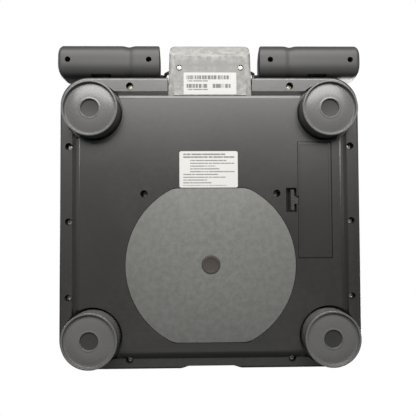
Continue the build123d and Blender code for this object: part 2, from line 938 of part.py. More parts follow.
def housing_plan(inset, front, z_low, z_high):
    """The housing seen from above, drawn in towards the rear, with rounded rear corners."""
    rear = grip_outer_y - inset
    front_half = housing_half_width(front) - inset
    rear_half = housing_half_width(rear) - inset
    outline = Polyline(
        (-front_half, front), (front_half, front), (rear_half, rear), (-rear_half, rear), close=True
    )
    face = make_face(outline)
    corners = face.vertices().group_by(Axis.Y)[-1]
    face = fillet(corners, housing_corner_radius - inset)
    return extrude(Pos(0, 0, z_low) * face, z_high - z_low)


def housing_bottom_form(inset):
    front = housing_front_y + inset
    rear = grip_outer_y - inset
    bottom = plateau_z + inset
    bevel_start = grip_outer_y - housing_rear_bevel - inset * 0.6
    crease = grip_outer_y - housing_crease - inset * 0.8
    side = Polyline(
        (front, bottom),
        (bevel_start, bottom),
        (crease, housing_crease_z + inset),
        (rear, housing_bevel_top_z),
        (rear, housing_seam_z),
        (front, housing_seam_z),
        close=True,
    )
    half = housing_width / 2 - inset * 0.9
    low_half = half - housing_bevel_width
    end = Polyline(
        (-low_half, bottom),
        (low_half, bottom),
        (half, bottom + housing_bevel_height),
        (half, housing_seam_z),
        (-half, housing_seam_z),
        (-half, bottom + housing_bevel_height),
        close=True,
    )
    plan = housing_plan(inset, front, bottom, housing_seam_z)
    side_solid = extrude(Plane.YZ * make_face(side), housing_width, both=True)
    end_solid = Pos(0, rear + lap, 0) * extrude(Plane.XZ * make_face(end), housing_bottom_length + 4 * lap)
    return plan & side_solid & end_solid


def lead_y():
    return grip_y - grip_depth / 2 + lead_from_grip_edge


def display_housing_bottom():
    shell = housing_bottom_form(0) - housing_bottom_form(housing_wall)
    half = housing_opening_width / 2
    low_z = plateau_z + housing_opening_rise
    inside_y = housing_front_y + 2 * housing_wall
    shell -= block(-half, half, housing_front_y - lap, inside_y, low_z, housing_seam_z)
    for x, y in housing_screws:
        shell += post(x, y, housing_screw_boss_radius, plateau_z + lap, housing_seam_z)
        seat = plateau_z + housing_screw_recess_depth
        shell -= post(x, y, housing_screw_recess_radius, plateau_z - lap, seat)
        shell -= post(x, y, screw_shank_radius + screw_clearance, plateau_z, housing_seam_z + lap)
    bore = Rotation(0, 90, 0) * Cylinder(lead_hole_radius, 2 * housing_width)
    shell -= Pos(0, lead_y(), lead_exit_z) * bore
    return shell


def face_plane():
    """The plane of the sloping display face, with its origin in the middle of the lens."""
    rise = housing_peak_z - housing_front_z
    run = housing_top_length - housing_peak_inset
    tilt = math.atan2(rise, run)
    y = housing_top_front_y + lens_from_front
    z = housing_front_z + (y - housing_top_front_y) * math.tan(tilt)
    return Plane((0, y, z), x_dir=(1, 0, 0), z_dir=(0, -math.sin(tilt), math.cos(tilt)))


def housing_top_form(inset):
    front = housing_top_front_y + inset
    rear = grip_outer_y - inset
    top = inset * 1.1
    side = Polyline(
        (front, housing_seam_z),
        (rear, housing_seam_z),
        (rear, housing_peak_z - housing_rear_edge_drop - inset / 2),
        (grip_outer_y - housing_peak_inset - inset * 0.5, housing_peak_z - top),
        (front, housing_front_z - top),
        close=True,
    )
    plan = housing_plan(inset, front, housing_seam_z, housing_peak_z)
    return plan & extrude(Plane.YZ * make_face(side), housing_width, both=True)


def on_face(width, length, radius, x, y, z_low, z_high):
    """A rounded plate between two heights over the display face."""
    plane = face_plane()
    sketch = plane * (Pos(x, y, z_low) * RectangleRounded(width, length, radius))
    return extrude(sketch, z_high - z_low, dir=plane.z_dir)


def button_place(index):
    x = (index - (len(button_names) - 1) / 2) * button_pitch
    return x, -lens_length / 2 - button_from_lens


def display_housing_top():
    form = housing_top_form(0)
    upper = form.edges().filter_by(lambda edge: edge.center().Z > housing_front_z - lap)
    form = fillet(upper, housing_edge_radius)
    shell = form - housing_top_form(housing_wall)
    for x, y in housing_screws:
        shell += post(x, y, housing_screw_post_radius, housing_seam_z, housing_peak_z) & form
        hole_top = housing_seam_z + housing_screw_post_depth
        shell -= post(x, y, screw_shank_radius - screw_bite, housing_seam_z - lap, hole_top)
    gap = 2 * lens_gap
    shell -= on_face(lens_width + gap, lens_length + gap, lens_corner_radius, 0, 0, -lens_thickness, lap)
    margins = 2 * window_margin
    window = (lens_width - margins, lens_length - margins, window_corner_radius)
    shell -= on_face(*window, 0, 0, -window_depth, lap)
    for index in range(len(button_names)):
        x, y = button_place(index)
        gap = 2 * running_clearance
        key_hole = (button_width + gap, button_length + gap, button_corner_radius)
        shell -= on_face(*key_hole, x, y, -window_depth, lap)
    return shell


def display_lens():
    return on_face(lens_width, lens_length, lens_corner_radius - lens_gap, 0, 0, -lens_thickness, 0)


def lcd_panel():
    front = -housing_wall - lcd_behind
    margins = 2 * (window_margin + lcd_edge)
    size = (lens_width - margins, lens_length - margins)
    return on_face(*size, lcd_edge / 2, 0, 0, front - lcd_thickness, front)


def display_board():
    front = -housing_wall - lcd_thickness - display_board_behind
    size = (housing_width - display_board_side_gap, lens_length + display_board_extra_length)
    low_z = front - board_thickness
    board = on_face(*size, board_corner_radius, 0, -display_board_shift, low_z, front)
    for x, y in housing_screws:
        board -= post(x, y, housing_screw_post_radius + lap, housing_bevel_top_z, housing_peak_z)
    return board


def button(index):
    """A key cap that stands a little proud of the face, with a flange behind it."""
    x, y = button_place(index)
    depth = housing_wall + button_flange_behind
    radius = button_corner_radius - running_clearance
    cap = on_face(button_width, button_length, radius, x, y, -depth, button_height)
    rim = cap.edges().group_by(Axis(face_plane().origin, face_plane().z_dir))[-1]
    cap = fillet(rim, button_edge_radius)
    size = (button_width + 2 * button_flange, button_length + 2 * button_flange)
    return cap + on_face(*size, button_corner_radius, x, y, -depth - button_flange_thickness, -depth)


# Hand grips, drawn on the right-hand side and mirrored for the left

def grip_section(inset):
    width = grip_depth - 2 * inset
    height = grip_height - 2 * inset
    radius = grip_section_radius - inset
    centre_z = grip_bottom_z + grip_height / 2
    plane = Plane((0, grip_y, centre_z), x_dir=(0, 1, 0), z_dir=(1, 0, 0))
    return plane * RectangleRounded(width, height, radius)


def grip_bar(inset, x_low, x_high):
    return Pos(x_low, 0, 0) * extrude(grip_section(inset), x_high - x_low)


def grip_form(inset):
    """A rounded bar whose two ends are bowed when it is seen from above."""
    bar = grip_bar(inset, grip_inner_x + inset, grip_outer_x - inset)
    height = 2 * grip_bottom_z + grip_height
    middle_x = (grip_inner_x + grip_outer_x) / 2
    outer = post(grip_outer_x - grip_outer_bow, grip_y, grip_outer_bow - inset, 0, height)
    inner = post(grip_inner_x + grip_inner_bow, grip_y, grip_inner_bow - inset, 0, height)
    outer += block(0, middle_x, grip_y - grip_depth, grip_y + grip_depth, 0, height)
    inner += block(middle_x, body_width, grip_y - grip_depth, grip_y + grip_depth, 0, height)
    return bar & outer & inner


def end_edges(form, near_x):
    """The edges round one end of a grip, but not the long ones that run into it."""
    edges = form.edges().filter_by(lambda e: abs(e.center().X - near_x) < grip_section_radius)
    return edges.filter_by(lambda e: not (e.geom_type == GeomType.LINE and abs(e.tangent_at(0.5).X) > 0.9))


def grip_outside():
    form = grip_form(0)
    form = fillet(end_edges(form, grip_outer_x), grip_outer_edge)
    form = fillet(end_edges(form, grip_inner_x), grip_inner_edge)
    half = grip_waist_width / 2
    waist = grip_bar(-2, grip_waist_x - half, grip_waist_x + half)
    return form - (waist - grip_bar(grip_waist_depth, grip_waist_x - half, grip_waist_x + half))


def grip_screw_places():
    return [(grip_inner_x + grip_inner_screw_inset, grip_y), (grip_outer_x - grip_outer_screw_inset, grip_y)]


def grip_electrodes():
    """Thin plates let into the outer and upper faces of the bar."""
    from_waist = grip_waist_width / 2 + electrode_waist_gap
    thumb_low = grip_inner_x + thumb_electrode_inset
    thumb_high = grip_waist_x - from_waist
    finger_low = grip_waist_x + from_waist
    finger_high = grip_outer_x - finger_electrode_inset
    half = thumb_electrode_half_depth
    ring = grip_bar(0, thumb_low, finger_high)
    ring -= grip_bar(grip_electrode_thickness, thumb_low - lap, finger_high + lap)
    finger_y = grip_y + finger_electrode_start
    finger_z = grip_seam_z + finger_electrode_rise
    thumb_z = grip_seam_z + thumb_electrode_rise
    top = grip_bottom_z + grip_height + lap
    fingers = ring & block(finger_low, finger_high, finger_y, finger_y + grip_depth, finger_z, top)
    thumb = ring & block(thumb_low, thumb_high, grip_y - half, grip_y + half, thumb_z, top)
    return {"finger_electrode": fingers, "thumb_electrode": thumb}


def grip_shell():
    shell = grip_outside() - grip_form(grip_wall)
    backing_half = hook_head_width / 2 + hook_backing
    backing = block(
        hook_x - backing_half,
        hook_x + backing_half,
        rear_y,
        rear_y + hook_neck_length + hook_head_length + hook_backing,
        grip_bottom_z,
        hook_top_z + hook_backing_top,
    )
    shell += backing & grip_form(0.5)
    for x, y in grip_screw_places():
        top = grip_bottom_z + grip_height - lap
        seat = grip_bottom_z + grip_screw_recess_depth
        shell += post(x, y, grip_screw_boss_radius, grip_bottom_z + lap, top)
        shell -= post(x, y, grip_screw_recess_radius, grip_bottom_z - lap, seat)
        shell -= post(x, y, screw_shank_radius + screw_bite, seat - lap, seat + grip_screw_length + lap)
    shell -= hook(1, running_clearance)
    for electrode in grip_electrodes().values():
        shell -= electrode
    hole = Rotation(0, 90, 0) * Cylinder(lead_hole_radius, 4 * lead_inside)
    return shell - Pos(grip_inner_x, lead_y(), lead_entry_z) * hole


def grip_half(upper):
    z_low = grip_seam_z if upper else 0
    z_high = grip_seam_z + grip_height if upper else grip_seam_z
    return grip_shell() & block(0, body_width, 0, overall_length, z_low, z_high)


def screw(x, y, seat_z, head_radius, head_height, length):
    """A pan-head screw driven upwards, with a cross recess in its head."""
    head = post(x, y, head_radius, seat_z - head_height, seat_z)
    head = fillet(head.edges().group_by(Axis.Z)[0], head_height * 0.4)
    arm = (head_radius * 1.2, screw_cross_width, 2 * screw_cross_depth)
    cross = Box(*arm) + Rotation(0, 0, 90) * Box(*arm)
    head -= Pos(x, y, seat_z - head_height) * cross
    return head + post(x, y, screw_shank_radius - screw_clearance, seat_z - lap / 2, seat_z + length)


def casing_screws():
    """Ten screws in the border, two in the middle and two shorter ones in the display housing."""
    head = (screw_head_radius, screw_head_height)
    seat = flange_z + screw_recess_depth
    pieces = [screw(x, y, seat, *head, flange_screw_length) for x, y in flange_screws]
    seat = plateau_z + middle_screw_depth
    pieces += [screw(x, y, seat, *head, middle_screw_length) for x, y in middle_screws]
    seat = plateau_z + housing_screw_recess_depth
    head = (housing_screw_head_radius, housing_screw_head_height)
    pieces += [screw(x, y, seat, *head, housing_screw_length) for x, y in housing_screws]
    return Compound(children=pieces)


def grip_screws():
    seat = grip_bottom_z + grip_screw_recess_depth
    head = (grip_screw_head_radius, grip_screw_head_height)
    return Compound(children=[screw(x, y, seat, *head, grip_screw_length) for x, y in grip_screw_places()])


def cord_lead():
    """The short stretch of cord from the housing's side up into the inner end of a grip."""
    y = lead_y()
    wall_x = housing_half_width(y)
    rise_x = (wall_x + grip_inner_x) / 2
    path = FilletPolyline(
        (wall_x - lead_inside, y, lead_exit_z),
        (rise_x, y, lead_exit_z),
        (rise_x, y, lead_entry_z),
        (grip_inner_x + lead_inside, y, lead_entry_z),
        radius=lead_bend_radius,
    )
    start = Plane(path @ 0, z_dir=path % 0)
    return sweep(start * Circle(cord_diameter / 2), path=path)


# Boards and labels

def main_board_centre():
    return -compartment_x, compartment_y


def main_board_z():
    return plateau_z + wall + main_board_rise


def board_posts():
    x, y = main_board_centre()
    half_x = main_board_width / 2 - board_post_inset
    half_y = main_board_length / 2 - board_post_inset
    return [(x + sx * half_x, y + sy * half_y) for sx in (-1, 1) for sy in (-1, 1)]


def main_board():
    x, y = main_board_centre()
    z = main_board_z()
    top = z + board_thickness
    half_x = main_board_width / 2
    half_y = main_board_length / 2
    board = rounded_plate(main_board_width, main_board_length, board_corner_radius, x, y, z, top)
    chip = chip_size / 2
    board += block(x - chip, x + chip, y - chip, y + chip, top, top + chip_height)
    low_x = x - half_x + sensor_plug_from_corner
    high_y = y + half_y - sensor_plug_from_corner
    low_y = high_y - sensor_plug_length
    board += block(low_x, low_x + sensor_plug_width, low_y, high_y, top, top + sensor_plug_height)
    high_x = x + half_x - battery_plug_from_corner
    low_x = high_x - battery_plug_width
    low_y = y - half_y + battery_plug_from_corner
    board += block(low_x, high_x, low_y, low_y + battery_plug_length, top, top + battery_plug_height)
    return board + post(x + capacitor_x, y + capacitor_y, capacitor_radius, top, top + capacitor_height)


def label(width, length, radius, x, y):
    return rounded_plate(width, length, radius, x, y, plateau_z - label_thickness, plateau_z)


def labels():
    """A rating label above the reel cover and a smaller one on the display housing."""
    rating_y = reel_y + reel_cover_flat + rating_label_gap + rating_label_length / 2
    rating = label(rating_label_width, rating_label_length, rating_label_corner, rating_label_x, rating_y)
    small = label(housing_label_width, housing_label_length, housing_label_corner, 0, housing_label_y)
    return Compound(children=[rating, small])


def all_nodes():
    nodes = {
        "bottom_shell": bottom_shell(),
        "top_cover": top_cover(),
        "platform_plate": platform_plate(),
        "load_cell_brackets": load_cell_brackets(),
        "reel_cover": reel_cover(),
        "reel_plug": reel_plug(),
        "reel_spindle": reel_spindle(),
        "main_board": main_board(),
        "display_housing_bottom": display_housing_bottom(),
        "display_housing_top": display_housing_top(),
        "display_lens": display_lens(),
        "lcd_panel": lcd_panel(),
        "display_board": display_board(),
        "battery_contacts": battery_contacts(),
        "battery_door": battery_door(),
        "battery_door_latch": battery_door_latch(),
        "casing_screws": casing_screws(),
        "labels": labels(),
    }
    nodes.update(standing_electrodes())
    for place, (x, y) in foot_places.items():
        nodes[f"foot_pad_{place}"] = foot_pad(x, y)
        nodes[f"foot_cup_{place}"] = foot_cup(x, y)
        nodes[f"load_cell_{place}"] = load_cell(x, y)
    for index in range(len(battery_places())):
        nodes[f"battery_{index + 1}"] = battery(index)
    for index, name in enumerate(button_names):
        nodes[name] = button(index)
    for side in ("left", "right"):
        nodes[f"reel_drum_{side}"] = reel_drum(side)
        nodes[f"reel_cord_{side}"] = reel_cord(side)
        nodes[f"reel_spring_{side}"] = reel_spring(side)
    grip = {
        "upper_shell": grip_half(True),
        "lower_shell": grip_half(False),
        "screws": grip_screws(),
        "cord_lead": cord_lead(),
    }
    grip.update(grip_electrodes())
    for name, piece in grip.items():
        nodes[f"grip_right_{name}"] = piece
        nodes[f"grip_left_{name}"] = mirror(piece, about=Plane.YZ)
    return nodes


os.makedirs("parts", exist_ok=True)
built = all_nodes()
for node_name, solid in built.items():
    export_step(solid, f"parts/{node_name}.step")
print(len(built), "nodes written")
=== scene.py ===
import json
import math

import bmesh
import bpy
import numpy as np
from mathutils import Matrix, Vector


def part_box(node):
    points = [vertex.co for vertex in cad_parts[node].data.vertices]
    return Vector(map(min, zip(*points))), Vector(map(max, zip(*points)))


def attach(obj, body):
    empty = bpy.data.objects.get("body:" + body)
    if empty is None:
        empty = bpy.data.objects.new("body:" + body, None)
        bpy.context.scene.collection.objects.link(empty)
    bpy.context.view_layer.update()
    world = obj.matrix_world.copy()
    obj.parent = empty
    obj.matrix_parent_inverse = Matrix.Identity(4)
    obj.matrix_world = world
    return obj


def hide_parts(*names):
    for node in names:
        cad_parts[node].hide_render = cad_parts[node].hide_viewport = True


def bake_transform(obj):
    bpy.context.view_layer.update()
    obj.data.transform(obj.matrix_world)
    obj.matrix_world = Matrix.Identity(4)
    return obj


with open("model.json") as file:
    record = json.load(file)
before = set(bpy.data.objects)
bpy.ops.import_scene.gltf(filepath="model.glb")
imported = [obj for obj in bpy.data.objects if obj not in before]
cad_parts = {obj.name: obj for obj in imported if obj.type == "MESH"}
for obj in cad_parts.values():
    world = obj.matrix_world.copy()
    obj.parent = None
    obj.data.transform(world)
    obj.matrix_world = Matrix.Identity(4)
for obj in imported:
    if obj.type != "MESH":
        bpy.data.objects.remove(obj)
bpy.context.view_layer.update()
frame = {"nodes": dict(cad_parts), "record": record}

# A body-composition bathroom scale, seen from underneath. Metres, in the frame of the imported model.
mm = 0.001
nodes = frame["nodes"]
scene = bpy.context.scene
random = np.random.default_rng(7)
sides = {"left": -1, "right": 1}
footPlaces = ("left_rear", "right_rear", "left_front", "right_front")


# Shader helpers

def addNode(tree, kind, values=None, **settings):
    node = tree.nodes.new(kind)
    for key, value in settings.items():
        setattr(node, key, value)
    for key, value in (values or {}).items():
        feed(tree, node.inputs[key], value)
    return node


def feed(tree, socket, value):
    if isinstance(value, bpy.types.NodeSocket):
        tree.links.new(value, socket)
    else:
        socket.default_value = value


def calc(tree, operation, *values):
    node = addNode(tree, "ShaderNodeMath", operation=operation)
    for socket, value in zip(node.inputs, values):
        feed(tree, socket, value)
    return node.outputs[0]


def remap(tree, value, low, high, newLow=0.0, newHigh=1.0):
    values = {"Value": value, "From Min": low, "From Max": high, "To Min": newLow, "To Max": newHigh}
    return addNode(tree, "ShaderNodeMapRange", values).outputs["Result"]


def mixColour(tree, factor, first, second):
    node = addNode(tree, "ShaderNodeMix", data_type="RGBA")
    for index, value in ((0, factor), (6, first), (7, second)):
        feed(tree, node.inputs[index], value)
    return node.outputs[2]


def product(tree, first, *others):
    for other in others:
        first = calc(tree, "MULTIPLY", first, other)
    return first


def between(tree, value, low, high):
    # 1 where the value lies between the two limits, otherwise 0
    return product(tree, calc(tree, "GREATER_THAN", value, low), calc(tree, "LESS_THAN", value, high))


def stretch(tree, coordinates, scale, turn):
    # the turn is about Z
    values = {"Vector": coordinates, "Scale": scale, "Rotation": (0.0, 0.0, turn)}
    return addNode(tree, "ShaderNodeMapping", values).outputs["Vector"]


def noise(tree, coordinates, scale, detail=2.0, roughness=0.5):
    values = {"Vector": coordinates, "Scale": scale, "Detail": detail, "Roughness": roughness}
    return addNode(tree, "ShaderNodeTexNoise", values).outputs["Fac"]


def makeGroup(name, inputs, outputs):
    # inputs maps a socket's name to its default, and a vector's default is None
    group = bpy.data.node_groups.new(name, "ShaderNodeTree")
    for socketName, value in inputs.items():
        kind = "NodeSocketVector" if value is None else "NodeSocketFloat"
        socket = group.interface.new_socket(name=socketName, in_out="INPUT", socket_type=kind)
        if value is not None:
            socket.default_value = value
    for socketName in outputs:
        group.interface.new_socket(name=socketName, in_out="OUTPUT", socket_type="NodeSocketFloat")
    entry = group.nodes.new("NodeGroupInput")
    leave = group.nodes.new("NodeGroupOutput")
    return group, entry.outputs, leave.inputs


def useGroup(tree, group, values):
    node = tree.nodes.new("ShaderNodeGroup")
    node.node_tree = group
    for key, value in values.items():
        feed(tree, node.inputs[key], value)
    return node.outputs


def maskOf(tree, group, coordinates, amount):
    return useGroup(tree, group, {"Coordinates": coordinates, "Amount": amount})["Mask"]


# Effects that several materials share

def makeMouldedGrain():
    # spark-eroded texture: fine noise plus rounded cells, and a coarser speckle for the tone
    tree, given, out = makeGroup(
        "mouldedGrain", {"Coordinates": None, "Scale": 1800.0, "Cells": 0.4}, ("Height", "Speckle")
    )
    fine = noise(tree, given["Coordinates"], given["Scale"], 3.0, 0.6)
    values = {"Vector": given["Coordinates"], "Scale": calc(tree, "MULTIPLY", given["Scale"], 0.55)}
    cells = addNode(tree, "ShaderNodeTexVoronoi", values, feature="SMOOTH_F1").outputs["Distance"]
    height = calc(tree, "ADD", fine, calc(tree, "MULTIPLY", cells, given["Cells"]))
    speckle = noise(tree, given["Coordinates"], calc(tree, "MULTIPLY", given["Scale"], 0.3), 2.0)
    feed(tree, out["Height"], height)
    feed(tree, out["Speckle"], remap(tree, speckle, 0.35, 0.65))
    return tree


def makeEdgeWear():
    # convex edges, broken up by noise
    tree, given, out = makeGroup("edgeWear", {"Coordinates": None, "Amount": 0.5}, ("Mask",))
    pointiness = addNode(tree, "ShaderNodeNewGeometry").outputs["Pointiness"]
    edge = remap(tree, pointiness, 0.52, 0.62)
    patches = remap(tree, noise(tree, given["Coordinates"], 160.0, 4.0, 0.65), 0.38, 0.62)
    feed(tree, out["Mask"], calc(tree, "MULTIPLY", calc(tree, "MULTIPLY", edge, patches), given["Amount"]))
    return tree


def makeSettledDust():
    # wide soft patches that hold fine specks
    tree, given, out = makeGroup("settledDust", {"Coordinates": None, "Amount": 0.3}, ("Mask",))
    patches = remap(tree, noise(tree, given["Coordinates"], 9.0, 1.0), 0.4, 0.8)
    specks = remap(tree, noise(tree, given["Coordinates"], 950.0, 2.0, 0.7), 0.5, 0.78)
    veil = calc(tree, "ADD", calc(tree, "MULTIPLY", patches, 0.45), calc(tree, "MULTIPLY", specks, 0.55))
    feed(tree, out["Mask"], calc(tree, "MULTIPLY", veil, given["Amount"]))
    return tree


def makeFineScratches():
    # two families of long thin marks, kept only where a wide noise lets them through
    tree, given, out = makeGroup("fineScratches", {"Coordinates": None, "Amount": 0.3}, ("Mask",))
    marks = []
    for turn, scale in ((0.5, (60.0, 4200.0, 900.0)), (-0.9, (70.0, 3600.0, 900.0))):
        drawn = stretch(tree, given["Coordinates"], scale, turn)
        marks.append(remap(tree, noise(tree, drawn, 1.0, 1.0), 0.68, 0.75))
    patches = remap(tree, noise(tree, given["Coordinates"], 32.0, 2.0), 0.5, 0.68)
    both = calc(tree, "MULTIPLY", calc(tree, "MAXIMUM", marks[0], marks[1]), patches)
    feed(tree, out["Mask"], calc(tree, "MULTIPLY", both, given["Amount"]))
    return tree


def makeToneDrift():
    # slow change of tone, as a moulding has from how the resin flowed
    tree, given, out = makeGroup("toneDrift", {"Coordinates": None, "Size": 9.0}, ("Tone",))
    broad = noise(tree, given["Coordinates"], given["Size"], 3.0, 0.55)
    feed(tree, out["Tone"], remap(tree, broad, 0.3, 0.7))
    return tree


def makeBrushedLines():
    # streaks along X: noise squeezed across the brushing
    tree, given, out = makeGroup("brushedLines", {"Coordinates": None, "Fineness": 1.0}, ("Height", "Streak"))
    across = calc(tree, "MULTIPLY", given["Fineness"], 2600.0)
    scale = addNode(tree, "ShaderNodeCombineXYZ", {"X": 22.0, "Y": across, "Z": across}).outputs["Vector"]
    drawn = addNode(
        tree, "ShaderNodeVectorMath", {0: given["Coordinates"], 1: scale}, operation="MULTIPLY"
    ).outputs["Vector"]
    feed(tree, out["Height"], noise(tree, drawn, 1.0, 3.0, 0.7))
    feed(tree, out["Streak"], remap(tree, noise(tree, drawn, 0.35, 2.0), 0.3, 0.7))
    return tree


def makePrintedRows():
    # rows of short grey strokes that stand for lines of small print, with ragged right ends
    tree, given, out = makeGroup(
        "printedRows",
        {"Coordinates": None, "Pitch": 0.003, "Body": 0.45, "Stroke": 700.0, "Left": -0.02, "Right": 0.02,
         "Bottom": -0.01, "Top": 0.01},
        ("Ink",),
    )
    split = addNode(tree, "ShaderNodeSeparateXYZ", {"Vector": given["Coordinates"]}).outputs
    x, y = split["X"], split["Y"]
    lines = calc(tree, "DIVIDE", calc(tree, "SUBTRACT", given["Top"], y), given["Pitch"])
    row = calc(tree, "FLOOR", lines)
    within = calc(tree, "LESS_THAN", calc(tree, "FRACT", lines), given["Body"])
    ragged = addNode(tree, "ShaderNodeTexWhiteNoise", {"W": row}, noise_dimensions="1D").outputs["Value"]
    span = calc(tree, "SUBTRACT", given["Right"], given["Left"])
    reach = calc(tree, "SUBTRACT", 1.0, calc(tree, "MULTIPLY", calc(tree, "POWER", ragged, 2.0), 0.55))
    along = calc(tree, "DIVIDE", calc(tree, "SUBTRACT", x, given["Left"]), span)
    rowShift = 7.3      # far enough along the noise for each row to differ
    values = {"X": product(tree, x, given["Stroke"]), "Y": product(tree, row, rowShift)}
    spot = addNode(tree, "ShaderNodeCombineXYZ", values).outputs["Vector"]
    strokes = remap(tree, noise(tree, spot, 1.0, 1.0), 0.33, 0.42)
    inLine = between(tree, along, 0.0, reach)
    inField = between(tree, y, given["Bottom"], given["Top"])
    feed(tree, out["Ink"], product(tree, within, inLine, strokes, inField))
    return tree


mouldedGrain = makeMouldedGrain()
edgeWear = makeEdgeWear()
settledDust = makeSettledDust()
fineScratches = makeFineScratches()
toneDrift = makeToneDrift()
brushedLines = makeBrushedLines()
printedRows = makePrintedRows()


# Materials

def startMaterial(name):
    material = bpy.data.materials.new(name)
    material.use_nodes = True
    tree = material.node_tree
    shader = tree.nodes["Principled BSDF"]
    coordinates = tree.nodes.new("ShaderNodeTexCoord").outputs["Object"]
    return material, tree, shader, coordinates


# what a plastic has unless its own look says otherwise
plasticDefaults = {
    "drift": 0.12, "driftSize": 9.0, "speckle": 0.15, "wear": 0.35, "dust": 0.05, "marks": 0.06, "bump": 0.25,
    "specular": 0.5, "coat": 0.0, "coatRoughness": 0.3,
}


def mouldedPlastic(name, ownLook):
    # tone drift and speckle in the colour, wear and dust over it, grain in the bump
    look = {**plasticDefaults, **ownLook}
    material, tree, shader, coordinates = startMaterial(name)
    grain = useGroup(tree, mouldedGrain, {"Coordinates": coordinates, "Scale": look["grain"]})
    tone = useGroup(tree, toneDrift, {"Coordinates": coordinates, "Size": look["driftSize"]})["Tone"]
    wear = maskOf(tree, edgeWear, coordinates, look["wear"])
    dust = maskOf(tree, settledDust, coordinates, look["dust"])
    marks = maskOf(tree, fineScratches, coordinates, look["marks"])
    base = np.array(look["colour"])
    drift = look["drift"]
    colour = mixColour(tree, tone, (*base * (1 - drift), 1), (*base * (1 + drift), 1))
    colour = mixColour(tree, product(tree, grain["Speckle"], look["speckle"]), colour, (*base * 1.35, 1))
    colour = mixColour(tree, wear, colour, (*np.minimum(base * 2.4 + 0.03, 0.8), 1))
    colour = mixColour(tree, marks, colour, (*np.minimum(base * 2.0 + 0.03, 0.8), 1))
    colour = mixColour(tree, dust, colour, (0.36, 0.34, 0.31, 1))
    feed(tree, shader.inputs["Base Color"], colour)
    low, high = look["roughness"]
    unevenness = calc(tree, "ADD", product(tree, grain["Speckle"], 0.5), tone)
    rough = remap(tree, unevenness, 0.0, 1.5, low, high)
    rough = calc(tree, "ADD", rough, product(tree, dust, 0.25))
    feed(tree, shader.inputs["Roughness"], calc(tree, "SUBTRACT", rough, product(tree, wear, 0.12)))
    values = {"Height": grain["Height"], "Strength": look["bump"], "Distance": 0.04 * mm}
    feed(tree, shader.inputs["Normal"], addNode(tree, "ShaderNodeBump", values).outputs["Normal"])
    shader.inputs["Specular IOR Level"].default_value = look["specular"]
    shader.inputs["Coat Weight"].default_value = look["coat"]
    shader.inputs["Coat Roughness"].default_value = look["coatRoughness"]
    return material


metalSurface = {"fineness": 1.0, "dust": 0.08, "wear": 0.3, "driftSize": 40.0, "bump": 0.2}


def metalFinish(name, look):
    # brushed or rolled metal: streaks change the roughness and the tone, with worn edges and a little dust
    material, tree, shader, coordinates = startMaterial(name)
    lines = useGroup(tree, brushedLines, {"Coordinates": coordinates, "Fineness": metalSurface["fineness"]})
    dust = maskOf(tree, settledDust, coordinates, metalSurface["dust"])
    wear = maskOf(tree, edgeWear, coordinates, metalSurface["wear"])
    tone = useGroup(tree, toneDrift, {"Coordinates": coordinates, "Size": metalSurface["driftSize"]})["Tone"]
    base = np.array(look["colour"])
    colour = mixColour(tree, lines["Streak"], (*base * 0.9, 1), (*np.minimum(base * 1.06, 0.95), 1))
    colour = mixColour(tree, calc(tree, "MULTIPLY", tone, 0.5), colour, (*np.array(look["tarnish"]), 1))
    colour = mixColour(tree, wear, colour, (*np.minimum(base * 1.3, 0.95), 1))
    colour = mixColour(tree, dust, colour, (0.3, 0.28, 0.25, 1))
    feed(tree, shader.inputs["Base Color"], colour)
    low, high = look["roughness"]
    feed(tree, shader.inputs["Roughness"], remap(tree, lines["Streak"], 0.0, 1.0, low, high))
    shader.inputs["Metallic"].default_value = 1.0
    values = {"Height": lines["Height"], "Strength": metalSurface["bump"], "Distance": 0.02 * mm}
    feed(tree, shader.inputs["Normal"], addNode(tree, "ShaderNodeBump", values).outputs["Normal"])
    return material


